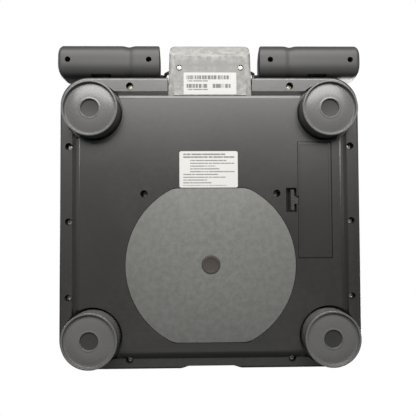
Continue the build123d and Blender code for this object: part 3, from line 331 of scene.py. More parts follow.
plasticLooks = {
    "shell_charcoal": {
        "colour": (0.0165, 0.0158, 0.0148), "roughness": (0.33, 0.38), "grain": 1700.0, "bump": 0.16,
        "specular": 0.85, "drift": 0.06, "dust": 0.02,
    },
    "cover_dark": {
        "colour": (0.020, 0.020, 0.021), "roughness": (0.42, 0.50), "grain": 1500.0, "bump": 0.2,
    },
    "cover_disc_grey": {
        "colour": (0.112, 0.114, 0.109), "specular": 0.3, "roughness": (0.545, 0.56),
        "grain": 2600.0, "drift": 0.012, "driftSize": 5.0, "dust": 0.006, "marks": 0.012,
        "speckle": 0.02, "bump": 0.05,
    },
    "plug_brown": {
        "colour": (0.030, 0.024, 0.019), "roughness": (0.50, 0.62), "grain": 900.0, "bump": 0.5,
    },
    "inner_plastic": {
        "colour": (0.02, 0.02, 0.02), "roughness": (0.4, 0.5), "grain": 1500.0,
    },
    "housing_grey": {
        "colour": (0.232, 0.233, 0.226), "roughness": (0.50, 0.52), "grain": 2400.0, "drift": 0.012,
        "specular": 0.05, "driftSize": 6.0, "dust": 0.006, "marks": 0.015, "speckle": 0.02,
        "bump": 0.06,
    },
    "latch_grey": {
        "colour": (0.024, 0.025, 0.024), "roughness": (0.42, 0.52), "grain": 1500.0,
    },
    "grip_grey": {
        "colour": (0.042, 0.042, 0.041), "roughness": (0.38, 0.44), "grain": 1900.0, "drift": 0.04,
        "specular": 0.3, "dust": 0.02, "speckle": 0.08, "bump": 0.14,
    },
    "foot_rubber": {
        "colour": (0.088, 0.088, 0.086), "roughness": (0.24, 0.30), "grain": 1500.0, "dust": 0.05,
        "speckle": 0.08, "bump": 0.14,
    },
    # painted shade: a darker colour for the floor of each foot's central recess, standing in for the dark
    # that the flat floor reflects
    "foot_recess_painted_shade": {
        "colour": (0.024, 0.024, 0.024), "roughness": (0.42, 0.50), "grain": 1500.0, "bump": 0.2,
        "specular": 0.3,
    },
    "foot_plastic": {
        "colour": (0.080, 0.081, 0.078), "roughness": (0.38, 0.46), "grain": 1500.0,
    },
    "button_grey": {
        "colour": (0.22, 0.22, 0.22), "roughness": (0.35, 0.45), "grain": 2200.0,
    },
    "circuit_board": {
        "colour": (0.012, 0.09, 0.035), "roughness": (0.25, 0.4), "grain": 700.0, "coat": 0.5,
    },
    "battery_wrap": {
        "colour": (0.03, 0.035, 0.05), "roughness": (0.22, 0.3), "grain": 400.0, "bump": 0.08,
    },
    "cord_black": {
        "colour": (0.016, 0.016, 0.017), "roughness": (0.45, 0.6), "grain": 2600.0, "bump": 0.3,
    },
}
metalLooks = {
    "galvanised_steel": {"colour": (0.5, 0.51, 0.52), "tarnish": (0.34, 0.35, 0.37), "roughness": (0.3, 0.5)},
    "nickel_contact": {"colour": (0.66, 0.62, 0.53), "tarnish": (0.45, 0.4, 0.33), "roughness": (0.15, 0.3)},
    "screw_zinc": {"colour": (0.60, 0.57, 0.50), "tarnish": (0.46, 0.41, 0.32), "roughness": (0.34, 0.46)},
    "screw_dark": {"colour": (0.10, 0.10, 0.10), "tarnish": (0.05, 0.05, 0.05), "roughness": (0.3, 0.45)},
    "electrode_steel": {"colour": (0.62, 0.62, 0.61), "tarnish": (0.5, 0.5, 0.5), "roughness": (0.2, 0.34)},
    "spring_steel": {"colour": (0.3, 0.32, 0.36), "tarnish": (0.2, 0.2, 0.26), "roughness": (0.2, 0.35)},
    "load_cell_steel": {"colour": (0.5, 0.5, 0.52), "tarnish": (0.4, 0.4, 0.4), "roughness": (0.25, 0.4)},
}
materials = {name: mouldedPlastic(name, look) for name, look in plasticLooks.items()}
materials.update({name: metalFinish(name, look) for name, look in metalLooks.items()})


def clearWindow(name, colour, roughness, transmission):
    # clear moulded window or glass: fingermarks and fine scratches show in its gloss
    material, tree, shader, coordinates = startMaterial(name)
    smears = remap(tree, noise(tree, coordinates, 60.0, 4.0, 0.6), 0.45, 0.7)
    marks = maskOf(tree, fineScratches, coordinates, 0.4)
    dust = maskOf(tree, settledDust, coordinates, 0.06)
    base = mixColour(tree, smears, (*colour, 1), (*np.array(colour) * 0.85, 1))
    feed(tree, shader.inputs["Base Color"], mixColour(tree, dust, base, (0.3, 0.3, 0.3, 1)))
    smeared = remap(tree, smears, 0.0, 1.0, roughness, roughness + 0.08)
    feed(tree, shader.inputs["Roughness"], calc(tree, "ADD", smeared, product(tree, marks, 0.3)))
    shader.inputs["IOR"].default_value = 1.49
    shader.inputs["Transmission Weight"].default_value = transmission
    return material


materials["lens_smoked"] = clearWindow("lens_smoked", (0.30, 0.31, 0.33), 0.04, 1.0)
materials["lcd_glass"] = clearWindow("lcd_glass", (0.42, 0.46, 0.40), 0.22, 0.0)

labelLook = {
    "film": (0.52, 0.52, 0.507), "serialShade": 0.87,
    "ink": (0.075, 0.075, 0.07), "inkCover": 0.8, "bars": (0.05, 0.05, 0.05), "barCover": 0.85,
}


def printedLabel(name, fields, bars=(), shade=1.0):
    # white film, with printed rows and stripes of uneven width in each field
    material, tree, shader, coordinates = startMaterial(name)
    split = addNode(tree, "ShaderNodeSeparateXYZ", {"Vector": coordinates}).outputs
    fibre = useGroup(tree, mouldedGrain, {"Coordinates": coordinates, "Scale": 2400.0})
    tone = useGroup(tree, toneDrift, {"Coordinates": coordinates, "Size": 30.0})["Tone"]
    dust = maskOf(tree, settledDust, coordinates, 0.05)
    film = np.array(labelLook["film"]) * shade
    colour = mixColour(tree, tone, (*film * 0.98, 1), (*film * 1.02, 1))
    for field in fields:
        ink = useGroup(tree, printedRows, {"Coordinates": coordinates, **field})["Ink"]
        colour = mixColour(tree, product(tree, ink, labelLook["inkCover"]), colour, (*labelLook["ink"], 1))
    for left, right, bottom, top in bars:
        spot = addNode(tree, "ShaderNodeCombineXYZ", {"X": split["X"], "Y": top}).outputs["Vector"]
        stripes = remap(tree, noise(tree, spot, 620.0, 1.0, 0.9), 0.43, 0.47)
        inBars = product(tree, between(tree, split["X"], left, right), between(tree, split["Y"], bottom, top))
        cover = product(tree, stripes, inBars, labelLook["barCover"])
        colour = mixColour(tree, cover, colour, (*labelLook["bars"], 1))
    feed(tree, shader.inputs["Base Color"], mixColour(tree, dust, colour, (0.5, 0.48, 0.44, 1)))
    feed(tree, shader.inputs["Roughness"], remap(tree, fibre["Speckle"], 0.0, 1.0, 0.38, 0.5))
    values = {"Height": fibre["Height"], "Strength": 0.08, "Distance": 0.02 * mm}
    feed(tree, shader.inputs["Normal"], addNode(tree, "ShaderNodeBump", values).outputs["Normal"])
    return material


print("stage: materials ready")


# Surfaces from arrays

def gridQuads(rows, columns, wrapRows=False):
    # corner numbers of every quad in a grid; columns always close into a ring, rows only where asked
    down = np.arange(rows if wrapRows else rows - 1)[:, None]
    across = np.arange(columns)[None, :]
    nextDown = (down + 1) % rows
    nextAcross = (across + 1) % columns
    corners = (
        down * columns + across,
        down * columns + nextAcross,
        nextDown * columns + nextAcross,
        nextDown * columns + across,
    )
    return np.stack(corners, axis=-1).reshape(-1, 4)


def newPiece(name, points, quads, material, sharp=35.0):
    # arrays into a mesh; doubled points at the poles are merged and the faces are turned outwards
    mesh = bpy.data.meshes.new(name)
    points = np.ascontiguousarray(points.reshape(-1, 3), dtype=np.float32)
    mesh.vertices.add(len(points))
    mesh.vertices.foreach_set("co", points.ravel())
    mesh.loops.add(quads.size)
    mesh.loops.foreach_set("vertex_index", quads.ravel().astype(np.int32))
    mesh.polygons.add(len(quads))
    mesh.polygons.foreach_set("loop_start", np.arange(0, quads.size, quads.shape[1], dtype=np.int32))
    mesh.update(calc_edges=True)
    tidyMesh(mesh, 0.0005 * mm, True)
    finishShading(mesh, sharp)
    mesh.materials.append(material)
    piece = bpy.data.objects.new(name, mesh)
    scene.collection.objects.link(piece)
    return piece


def tidyMesh(mesh, distance, turnOutwards):
    work = bmesh.new()
    work.from_mesh(mesh)
    bmesh.ops.remove_doubles(work, verts=work.verts, dist=distance)
    bmesh.ops.dissolve_degenerate(work, edges=work.edges, dist=distance * 0.5)
    if turnOutwards:
        bmesh.ops.recalc_face_normals(work, faces=work.faces)
    work.to_mesh(mesh)
    work.free()
    mesh.update()


def finishShading(mesh, sharp):
    mesh.shade_smooth()
    mesh.set_sharp_from_angle(angle=math.radians(sharp))


def creaseFlats(mesh):
    # each face gets a code from the axis that it faces, or 0, and an edge between unlike codes is sharp,
    # so that flats stay flat
    facing = 0.99999      # least share of the normal along its axis
    normals = np.empty(len(mesh.polygons) * 3)
    mesh.polygons.foreach_get("normal", normals)
    normals = normals.reshape(-1, 3)
    axis = np.abs(normals).argmax(axis=1)
    along = np.take_along_axis(normals, axis[:, None], axis=1)[:, 0]
    code = np.where(np.abs(along) > facing, (axis + 1) * np.sign(along), 0).astype(np.int32)
    sizes = np.empty(len(mesh.polygons), dtype=np.int32)
    mesh.polygons.foreach_get("loop_total", sizes)
    loopCode = np.repeat(code, sizes)
    loopEdge = np.empty(len(mesh.loops), dtype=np.int32)
    mesh.loops.foreach_get("edge_index", loopEdge)
    lowest = np.full(len(mesh.edges), 9, dtype=np.int32)
    highest = -lowest
    np.minimum.at(lowest, loopEdge, loopCode)
    np.maximum.at(highest, loopEdge, loopCode)
    sharp = np.empty(len(mesh.edges), dtype=bool)
    mesh.edges.foreach_get("use_edge_sharp", sharp)
    mesh.edges.foreach_set("use_edge_sharp", sharp | (lowest != highest))


def gridPiece(name, points, material, wrapRows=False):
    rows, columns = points.shape[:2]
    return newPiece(name, points, gridQuads(rows, columns, wrapRows), material)


def manyGrids(name, points, material, sharp):
    # one mesh from several equal grids: points is copies x rows x columns x 3
    copies, rows, columns = points.shape[:3]
    quads = gridQuads(rows, columns)
    offsets = np.arange(copies)[:, None, None] * rows * columns
    return newPiece(name, points, (quads[None] + offsets).reshape(-1, 4), material, sharp)


def place(piece, body, slot, *replaced):
    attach(piece, body)
    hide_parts(*replaced)


def roundProfile(corners, radii, steps=6):
    # each inner corner becomes an arc that touches both legs at radius / tan(half the corner's angle)
    corners = np.asarray(corners, float)
    runs = [corners[:1]]
    for before, corner, after, radius in zip(corners, corners[1:], corners[2:], radii):
        legs = [(end - corner) / np.linalg.norm(end - corner) for end in (before, after)]
        half = math.acos(np.clip(legs[0] @ legs[1], -1, 1)) / 2
        if radius == 0:
            runs.append(corner[None])
            continue
        bisector = (legs[0] + legs[1]) / np.linalg.norm(legs[0] + legs[1])
        centre = corner + bisector * radius / math.sin(half)
        start, end = (corner + leg * radius / math.tan(half) - centre for leg in legs)
        sweep = math.pi - 2 * half
        turn = np.linspace(0, 1, steps + 1)[:, None]
        arc = (np.sin((1 - turn) * sweep) * start + np.sin(turn * sweep) * end) / math.sin(sweep)
        runs.append(centre + arc)
    runs.append(corners[-1:])
    return np.concatenate(runs)


def circleAngles(count):
    return np.linspace(0, 2 * math.pi, count, endpoint=False)


def revolve(profile, centre, count):
    # every (radius, height) of the profile is carried round the upright axis through the centre
    turn = circleAngles(count)[None, :]
    radius, height = profile[:, :1], profile[:, 1:]
    x = centre[0] + radius * np.cos(turn)
    y = centre[1] + radius * np.sin(turn)
    return np.stack([x, y, height + 0 * turn], axis=-1)


def roundedOutline(width, length, radius, count=96):
    # a rounded rectangle: a quarter circle at each corner's centre, joined by straight sides
    turn = circleAngles(count) + math.pi / count
    cornerX = np.sign(np.cos(turn)) * (width / 2 - radius)
    cornerY = np.sign(np.sin(turn)) * (length / 2 - radius)
    return np.stack([cornerX + radius * np.cos(turn), cornerY + radius * np.sin(turn)], axis=-1)


def plateGrid(width, length, radius, profile, count=96):
    # a rounded plate: each profile pair is (inset from the edge, height), and the first and last close it
    def ringAt(inset):
        return roundedOutline(width - 2 * inset, length - 2 * inset, max(radius - inset, 0.02 * mm), count)

    rings = [np.column_stack([ringAt(inset), np.full(count, height)]) for inset, height in profile]
    poles = [np.column_stack([np.zeros((count, 2)), np.full(count, profile[end][1])]) for end in (0, -1)]
    return np.stack([poles[0], *rings, poles[1]])


def roundedPlate(width, length, radius, low, high, edge):
    # a plate between two heights, its lower edge rounded
    profile = roundProfile([(edge * 3, low), (0, low), (0, high), (edge * 3, high)], (edge, edge * 0.5), 4)
    return plateGrid(width, length, radius, profile)


def refined(node, name, body, slot, sharp=32.0):
    # a copy of a CAD piece with its triangles joined, so that curves shade smoothly and edges catch light
    mesh = nodes[node].data.copy()
    mesh.materials.clear()
    tidyMesh(mesh, 0.001 * mm, False)
    finishShading(mesh, sharp)
    creaseFlats(mesh)
    mesh.materials.append(materials[slot])
    piece = bpy.data.objects.new(name, mesh)
    scene.collection.objects.link(piece)
    smooth = piece.modifiers.new("flatFaces", "WEIGHTED_NORMAL")
    smooth.keep_sharp = True
    smooth.mode = "FACE_AREA"
    smooth.weight = 90
    place(piece, body, slot, node)


def middle(node):
    low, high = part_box(node)
    return np.array([(a + b) / 2 for a, b in zip(low, high)])


def solidBoxes(node):
    # boxes of a node's separate solids: corners that share a triangle take the lowest label,
    # until nothing changes
    grain = 0.001 * mm      # corners closer than this are one
    mesh = nodes[node].data
    points = np.empty(len(mesh.vertices) * 3)
    mesh.vertices.foreach_get("co", points)
    corners = np.empty(len(mesh.loops), dtype=np.int32)
    mesh.loops.foreach_get("vertex_index", corners)
    unique, number = np.unique(np.round(points.reshape(-1, 3) / grain), axis=0, return_inverse=True)
    triangles = number.reshape(-1)[corners].reshape(-1, 3)
    labels = np.arange(len(unique))
    settled = False
    while not settled:
        lowest = labels.copy()
        np.minimum.at(lowest, triangles.ravel(), np.repeat(labels[triangles].min(axis=1), 3))
        lowest = lowest[lowest]
        settled = bool((lowest == labels).all())
        labels = lowest
    solids = [unique[labels == label] * grain for label in np.unique(labels)]
    return [(solid.min(axis=0), solid.max(axis=0)) for solid in solids]


# Casing

# CAD node, name here, body, slot, and the angle in degrees from which an edge is sharp
mouldings = (
    ("bottom_shell", "bottom_shell_moulding", "scale_body", "shell_charcoal", 32.0),
    ("top_cover", "top_cover_moulding", "scale_body", "cover_dark", 32.0),
    ("display_housing_bottom", "housing_moulding", "scale_body", "housing_grey", 40.0),
    ("display_housing_top", "housing_top_moulding", "scale_body", "cover_dark", 32.0),
    ("battery_door", "battery_door_moulding", "battery_door", "shell_charcoal", 32.0),
    ("battery_door_latch", "latch_moulding", "battery_door_latch", "latch_grey", 32.0),
)
for node, name, body, slot, sharp in mouldings:
    refined(node, name, body, slot, sharp)
print("stage: casing done")


# Feet

footLook = {
    "rim": 2.0 * mm, "rimSlope": 0.4 * mm, "edge": 0.7 * mm, "groove": 2.2 * mm,
    "recess": 9.2 * mm, "recessDepth": 2.6 * mm, "recessSlope": 0.1 * mm, "lip": 0.9 * mm,
    "lipDepth": 1.0 * mm, "domeDepth": 1.3 * mm, "dishDepth": 3.0 * mm, "roundness": 2.0, "segments": 128,
}


def footPad(footPlace):
    # revolved section: recess floor, lip, a dome that falls away by a power of the radius, groove, rim
    # and outer wall
    low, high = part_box(f"foot_pad_{footPlace}")
    radius, top = (high[0] - low[0]) / 2, high[2]
    look = footLook
    lipEnd = look["recess"] + look["lip"]
    inner = radius - look["rim"]
    grooveStart = inner - look["groove"]
    share = np.linspace(0.06, 1, 18)
    fall = look["domeDepth"] + (look["dishDepth"] - look["domeDepth"]) * share ** look["roundness"]
    dome = np.column_stack([lipEnd + (grooveStart - lipEnd) * share, fall])
    middlePart = roundProfile(
        [(0, look["recessDepth"]), (look["recess"], look["recessDepth"]),
         (look["recess"] + look["recessSlope"], look["lipDepth"]), (lipEnd, look["lipDepth"]),
         tuple(dome[0])],
        (0.4 * mm, 0.2 * mm, 0.3 * mm), 4,
    )
    rimPart = roundProfile(
        [tuple(dome[-1]), (inner - look["rimSlope"], look["dishDepth"]), (inner, 0), (radius, 0),
         (radius, top), (0, top)],
        (0.5 * mm, 0.35 * mm, look["edge"], 0.3 * mm), 5,
    )
    profile = np.concatenate([middlePart, dome[1:-1], rimPart])
    centre = middle(f"foot_pad_{footPlace}")
    points = revolve(profile, centre, look["segments"])
    pad = gridPiece(f"foot_{footPlace}_pad", points, materials["foot_rubber"])
    mesh = pad.data
    centres = np.empty(len(mesh.polygons) * 3)
    mesh.polygons.foreach_get("center", centres)
    centres = centres.reshape(-1, 3)
    reach = np.hypot(centres[:, 0] - centre[0], centres[:, 1] - centre[1])
    # painted shade: the faces of the recess floor take a darker colour than the rubber pad, for the dark that
    # the flat floor reflects
    onFloor = centres[:, 2] < look["recessDepth"] + 0.5 * mm
    paintedShadeInRecess = onFloor & (reach < look["recess"] - look["recessSlope"])
    mesh.materials.append(materials["foot_recess_painted_shade"])
    mesh.polygons.foreach_set("material_index", paintedShadeInRecess.astype(np.int32))
    place(pad, f"foot_{footPlace}", "foot_rubber", f"foot_pad_{footPlace}")


for footPlace in footPlaces:
    footPad(footPlace)
    cup = f"foot_cup_{footPlace}"
    refined(cup, f"{cup}_moulding", f"foot_{footPlace}", "foot_plastic")
print("stage: feet done")


# Reel cover

coverLook = {
    "edge": 0.5 * mm, "holeGap": 0.2 * mm, "plugRecess": 0.4 * mm, "ring": 2.4 * mm,
    "meanPower": 90.0, "segments": 360, "plugSegments": 96,
}


def reelCover():
    # a circle cut by two straight sides: the outline's radius is (circle^-p + straight^-p)^(-1/p), which is
    # close to the lesser of the two
    low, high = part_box("reel_cover")
    centre = middle("reel_cover")
    radius, flat = (high[0] - low[0]) / 2, (high[1] - low[1]) / 2
    plugLow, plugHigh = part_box("reel_plug")
    hole = (plugHigh[0] - plugLow[0]) / 2 + coverLook["holeGap"]
    turn = circleAngles(coverLook["segments"])
    straight = flat / np.maximum(np.abs(np.sin(turn)), 1e-6)
    power = coverLook["meanPower"]
    outer = (radius ** -power + straight ** -power) ** (-1 / power)
    inner = np.full_like(outer, hole)
    edge = coverLook["edge"]
    face, back = low[2], high[2]
    rows = [
        (inner, back), (inner, face + edge * 0.6), (inner + edge * 0.3, face),
        (outer - edge, face), (outer - edge * 0.3, face + edge * 0.3), (outer, face + edge), (outer, back),
    ]
    points = np.stack([
        np.column_stack([centre[0] + r * np.cos(turn), centre[1] + r * np.sin(turn), np.full_like(turn, z)])
        for r, z in rows
    ])
    cover = gridPiece("reel_cover_disc", points, materials["cover_disc_grey"], wrapRows=True)
    place(cover, "scale_body", "cover_disc_grey", "reel_cover")


def reelPlug():
    # revolved section with a shallow recess and a fine raised ring round it
    low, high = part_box("reel_plug")
    radius = (high[0] - low[0]) / 2
    recess = radius - coverLook["ring"]
    floor = low[2] + coverLook["plugRecess"]
    corners = [
        (0, floor), (recess, floor), (recess + 0.1 * mm, low[2]),
        (radius, low[2]), (radius, high[2]), (0, high[2]),
    ]
    profile = roundProfile(corners, (0.2 * mm, 0.15 * mm, 0.4 * mm, 0.2 * mm), 4)
    points = revolve(profile, middle("reel_plug"), coverLook["plugSegments"])
    plug = gridPiece("reel_cover_plug", points, materials["plug_brown"])
    place(plug, "scale_body", "plug_brown", "reel_plug")


reelCover()
reelPlug()
print("stage: reel cover done")


# Screws

screwLook = {
    "crossHalfWidth": 0.32 * mm, "crossDepth": 1.0 * mm, "dome": 0.35 * mm, "shank": 1.2 * mm,
    "crossReach": 0.62, "faceReach": 0.82, "shoulder": 0.84,      # shares of the head's radius
    "casingHead": 1.6 * mm, "gripHead": 1.5 * mm, "rings": 24, "turns": 72,
}


def screwGrid(radius, headHeight, length):
    # head: a shallow dome less a cross whose two arms taper in depth; then the side, the seat and the shank
    look = screwLook
    turn = circleAngles(look["turns"])[None, :]
    reach = np.linspace(0, look["faceReach"], look["rings"])[:, None] * radius
    u, v = reach * np.cos(turn), reach * np.sin(turn)
    dome = look["dome"] * (reach / radius) ** 2 + 0 * turn
    armLength = radius * look["crossReach"]
    halfWidth = look["crossHalfWidth"]

    def arm(across, along):
        width = np.clip((halfWidth * 1.35 - np.abs(across)) / (halfWidth * 0.5), 0, 1)
        return width * np.clip((armLength - np.abs(along)) / (armLength * 0.45), 0, 1)

    cut = np.maximum(arm(u, v), arm(v, u)) * look["crossDepth"]
    face = np.stack([u, v, dome + cut], axis=-1)
    rest = roundProfile(
        [(radius * look["shoulder"], look["dome"] * 0.7), (radius, look["dome"] * 1.1), (radius, headHeight),
         (look["shank"], headHeight), (look["shank"], length), (0, length)],
        (0.3 * mm, 0.05 * mm, 0.1 * mm, 0.2 * mm), 3,
    )
    return np.concatenate([face, revolve(rest, (0, 0), look["turns"])])


def screwSet(name, boxes, headHeight, material):
    # every screw takes its place from its own CAD solid, and its cross is turned by chance
    grids = []
    for low, high in boxes:
        grid = screwGrid((high[0] - low[0]) / 2, headHeight, high[2] - low[2])
        angle = random.uniform(0, math.pi / 2)
        cosine, sine = math.cos(angle), math.sin(angle)
        spin = np.array([[cosine, -sine, 0], [sine, cosine, 0], [0, 0, 1]])
        grids.append(grid @ spin.T + [(low[0] + high[0]) / 2, (low[1] + high[1]) / 2, low[2]])
    return manyGrids(name, np.stack(grids), material, sharp=40.0)


casingScrews = screwSet(
    "casing_screw_heads", solidBoxes("casing_screws"), screwLook["casingHead"], materials["screw_zinc"]
)
place(casingScrews, "scale_body", "screw_zinc", "casing_screws")
for side in sides:
    node = f"grip_{side}_screws"
    gripScrews = screwSet(
        f"grip_{side}_screw_heads", solidBoxes(node), screwLook["gripHead"], materials["screw_dark"]
    )
    place(gripScrews, f"grip_{side}", "screw_dark", node)
print("stage: screws done")


# Labels

def labelPiece(name, box, radius, material):
    low, high = box
    centre = [(low[0] + high[0]) / 2, (low[1] + high[1]) / 2, 0]
    edge = 0.03 * mm
    grid = roundedPlate(high[0] - low[0], high[1] - low[1], radius, low[2], high[2], edge)
    return gridPiece(name, grid + centre, material)


def printField(label, rows, left, right, top, bottom):
    # margins are from the label's own edges; the underside is read with X to the left, so a row starts at
    # its high X and its strokes run the other way
    (lowX, lowY, _), (highX, highY, _) = label
    pitch, body, stroke = rows
    return {
        "Pitch": pitch, "Body": body, "Stroke": -stroke,
        "Left": highX - left, "Right": lowX + right, "Top": highY - top, "Bottom": lowY + bottom,
    }


labelBoxes = sorted(solidBoxes("labels"), key=lambda box: box[0][1])
ratingBox, serialBox = labelBoxes
ratingHeight = ratingBox[1][1] - ratingBox[0][1]
serialWidth = serialBox[1][0] - serialBox[0][0]
serialHeight = serialBox[1][1] - serialBox[0][1]
# rows: pitch, the share of it that is inked, strokes per metre
ratingFields = [
    printField(ratingBox, (2.9 * mm, 0.55, 620.0), 4 * mm, 3 * mm, 2.5 * mm, ratingHeight - 8.3 * mm),
    printField(ratingBox, (2.9 * mm, 0.38, 800.0), 11 * mm, 3 * mm, 9.2 * mm, 15.4 * mm),
    printField(ratingBox, (2.9 * mm, 0.36, 800.0), 4 * mm, 12 * mm, ratingHeight - 14.2 * mm, 2.0 * mm),
]
serialLook = {
    "starts": (3.0 * mm, 12.0 * mm),      # from the label's top edge to the top of each striped field
    "barHeight": 4.2 * mm, "barsFromLow": 6 * mm, "barsFromHigh": 3 * mm,
    "rowTop": 5.2 * mm, "rowBottom": 7.8 * mm, "rowShare": 0.55,
}
serialFields = [
    printField(
        serialBox, (2.6 * mm, 0.5, 700.0), 4 * mm, (1 - serialLook["rowShare"]) * serialWidth,
        start + serialLook["rowTop"], serialHeight - start - serialLook["rowBottom"],
    )
    for start in serialLook["starts"]
]
serialLow, serialHigh = serialBox
serialBars = [
    (serialLow[0] + serialLook["barsFromLow"], serialHigh[0] - serialLook["barsFromHigh"],
     serialHigh[1] - start - serialLook["barHeight"], serialHigh[1] - start)
    for start in serialLook["starts"]
]
materials["label_rating"] = printedLabel("label_rating", ratingFields)
materials["label_serial"] = printedLabel("label_serial", serialFields, serialBars, labelLook["serialShade"])
rating = labelPiece("rating_label", ratingBox, 2.0 * mm, materials["label_rating"])
serial = labelPiece("serial_label", serialBox, 0.6 * mm, materials["label_serial"])
for piece in (rating, serial):
    place(piece, "scale_body", "label_white", "labels")
print("stage: labels done")


# Hand grips

gripLook = {
    "squareness": 3.4,            # power of the section's superellipse
    "waistDepth": 1.1 * mm, "waistWidth": 4.2 * mm, "waistFromInner": 33.7 * mm, "bowReach": 34.0 * mm,
    "outerBow": 2.4 * mm, "outerPower": 3.2, "innerBow": 0.7 * mm, "innerPower": 2.6,
    "innerDraft": 2.4 * mm,       # how far the inner end leans back at the top of the bar
    "outerEdge": 4.2 * mm, "innerEdge": 1.8 * mm, "seamGap": 0.1 * mm,
    "screwRecess": 3.0 * mm, "screwDepth": 7.0 * mm,
    "columns": 64, "rows": 90, "endRows": 6 * mm, "capRows": 8,
    "cornerEase": 0.22,           # how far the columns are drawn towards the section's corners
}


def gripFrame(side):
    lowLower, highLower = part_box(f"grip_{side}_lower_shell")
    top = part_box(f"grip_{side}_upper_shell")[1][2]
    ends = sorted((abs(lowLower[0]), abs(highLower[0])))
    return {
        "sign": sides[side], "inner": ends[0], "outer": ends[1], "y": (lowLower[1] + highLower[1]) / 2,
        "halfDepth": (highLower[1] - lowLower[1]) / 2, "halfHeight": (top - lowLower[2]) / 2,
        "seam": highLower[2],
    }


def gripPoints(grip, x, inset, turn):
    # section: |y/a|^n + |z/b|^n = 1, with a and b drawn in by the inset and the waist; then each end is
    # bowed, by a shift that grows with a power of the distance from the bar's middle, and the inner end
    # leans back with height
    look = gripLook
    waistX = grip["inner"] + look["waistFromInner"]
    dip = look["waistDepth"] * np.exp(-(((x - waistX) / look["waistWidth"]) ** 2))
    scale = 1 - (inset + dip) / grip["halfHeight"]
    power = 2 / look["squareness"]
    y = grip["halfDepth"] * scale * np.sign(np.cos(turn)) * np.abs(np.cos(turn)) ** power
    z = grip["halfHeight"] * scale * np.sign(np.sin(turn)) * np.abs(np.sin(turn)) ** power
    away = np.abs(y) / grip["halfDepth"]
    outerShare = np.clip((x - grip["outer"] + look["bowReach"]) / look["bowReach"], 0, 1) ** 2
    innerShare = np.clip((grip["inner"] + look["bowReach"] - x) / look["bowReach"], 0, 1) ** 2
    shifted = x - look["outerBow"] * away ** look["outerPower"] * outerShare
    shifted = shifted + look["innerBow"] * away ** look["innerPower"] * innerShare
    shifted = shifted + look["innerDraft"] * (z / grip["halfHeight"] + 1) / 2 * innerShare
    return np.stack([grip["sign"] * shifted, grip["y"] + y, grip["seam"] + z], axis=-1)


def gripHalf(grip, upper):
    # rows run from pole to pole along the bar, columns round half the section and back across the seam
    look = gripLook
    half = grip["halfHeight"]
    length = np.linspace(grip["inner"] + look["endRows"], grip["outer"] - look["endRows"], look["rows"])
    profile = roundProfile(
        [(grip["inner"], half), (grip["inner"], 0), (grip["outer"], 0), (grip["outer"], half)],
        (look["innerEdge"], look["outerEdge"]), 8,
    )
    split = len(profile) // 2
    innerCap = np.linspace(profile[0], profile[1], look["capRows"], endpoint=False)
    outerCap = np.linspace(profile[-1], profile[-2], look["capRows"], endpoint=False)
    first = np.concatenate([innerCap, profile[1:split]])
    last = np.concatenate([profile[split:-1], outerCap[::-1]])
    rows = np.concatenate([first, np.column_stack([length, np.zeros_like(length)]), last])
    sweep = np.linspace(0, math.pi, look["columns"])
    # the superellipse bunches its points at the flats, so the angle is eased towards the corners
    sweep = sweep - look["cornerEase"] * np.sin(4 * sweep)
    turn = (sweep if upper else sweep + math.pi)[None, :]
    points = gripPoints(grip, rows[:, :1], rows[:, 1:], turn)
    points[..., 2] += look["seamGap"] * (1 if upper else -1)
    return points


def cutter(name, points):
    return gridPiece(name, points, materials["grip_grey"])


def blockGrid(lowCorner, highCorner):
    # four corners of each level, with the two end faces closed to a pole
    (x0, y0, z0), (x1, y1, z1) = lowCorner, highCorner
    ring = np.array([(x0, y0), (x1, y0), (x1, y1), (x0, y1)])
    centre = ring.mean(axis=0)
    rows = [(centre + 0 * ring, z0), (ring, z0), (ring, z1), (centre + 0 * ring, z1)]
    return np.stack([np.column_stack([xy, np.full(4, z)]) for xy, z in rows])


def cutAway(piece, cutters):
    for tool in cutters:
        modifier = piece.modifiers.new("cut", "BOOLEAN")
        modifier.operation = "DIFFERENCE"
        modifier.solver = "EXACT"
        modifier.object = tool
    bpy.context.view_layer.update()
    evaluated = piece.evaluated_get(bpy.context.evaluated_depsgraph_get())
    mesh = bpy.data.meshes.new_from_object(evaluated)
    piece.modifiers.clear()
    piece.data = mesh
    finishShading(mesh, 35.0)
    for tool in cutters:
        bpy.data.objects.remove(tool)


hookLook = {
    "neck": 12.6 * mm, "head": 20.6 * mm, "neckEnd": 2.3 * mm, "headEnd": 4.7 * mm, "top": 41.3 * mm,
    "fromOuter": 45.8 * mm, "faceGap": 1.3 * mm, "lap": 1 * mm, "margin": 2 * mm,
}


def hookSlot(grip):
    # T-shaped slot that the body's hook slides into, open towards the floor
    look = hookLook
    x = grip["sign"] * (grip["outer"] - look["fromOuter"])
    face = grip["y"] - grip["halfDepth"] - look["faceGap"]
    low = grip["seam"] - grip["halfHeight"] - look["margin"]

    def slotBlock(width, near, far):
        return blockGrid((x - width / 2, face + near, low), (x + width / 2, face + far, look["top"]))

    neck = slotBlock(look["neck"], -look["margin"], look["neckEnd"] + look["lap"])
    head = slotBlock(look["head"], look["neckEnd"], look["headEnd"])
    return [neck, head]


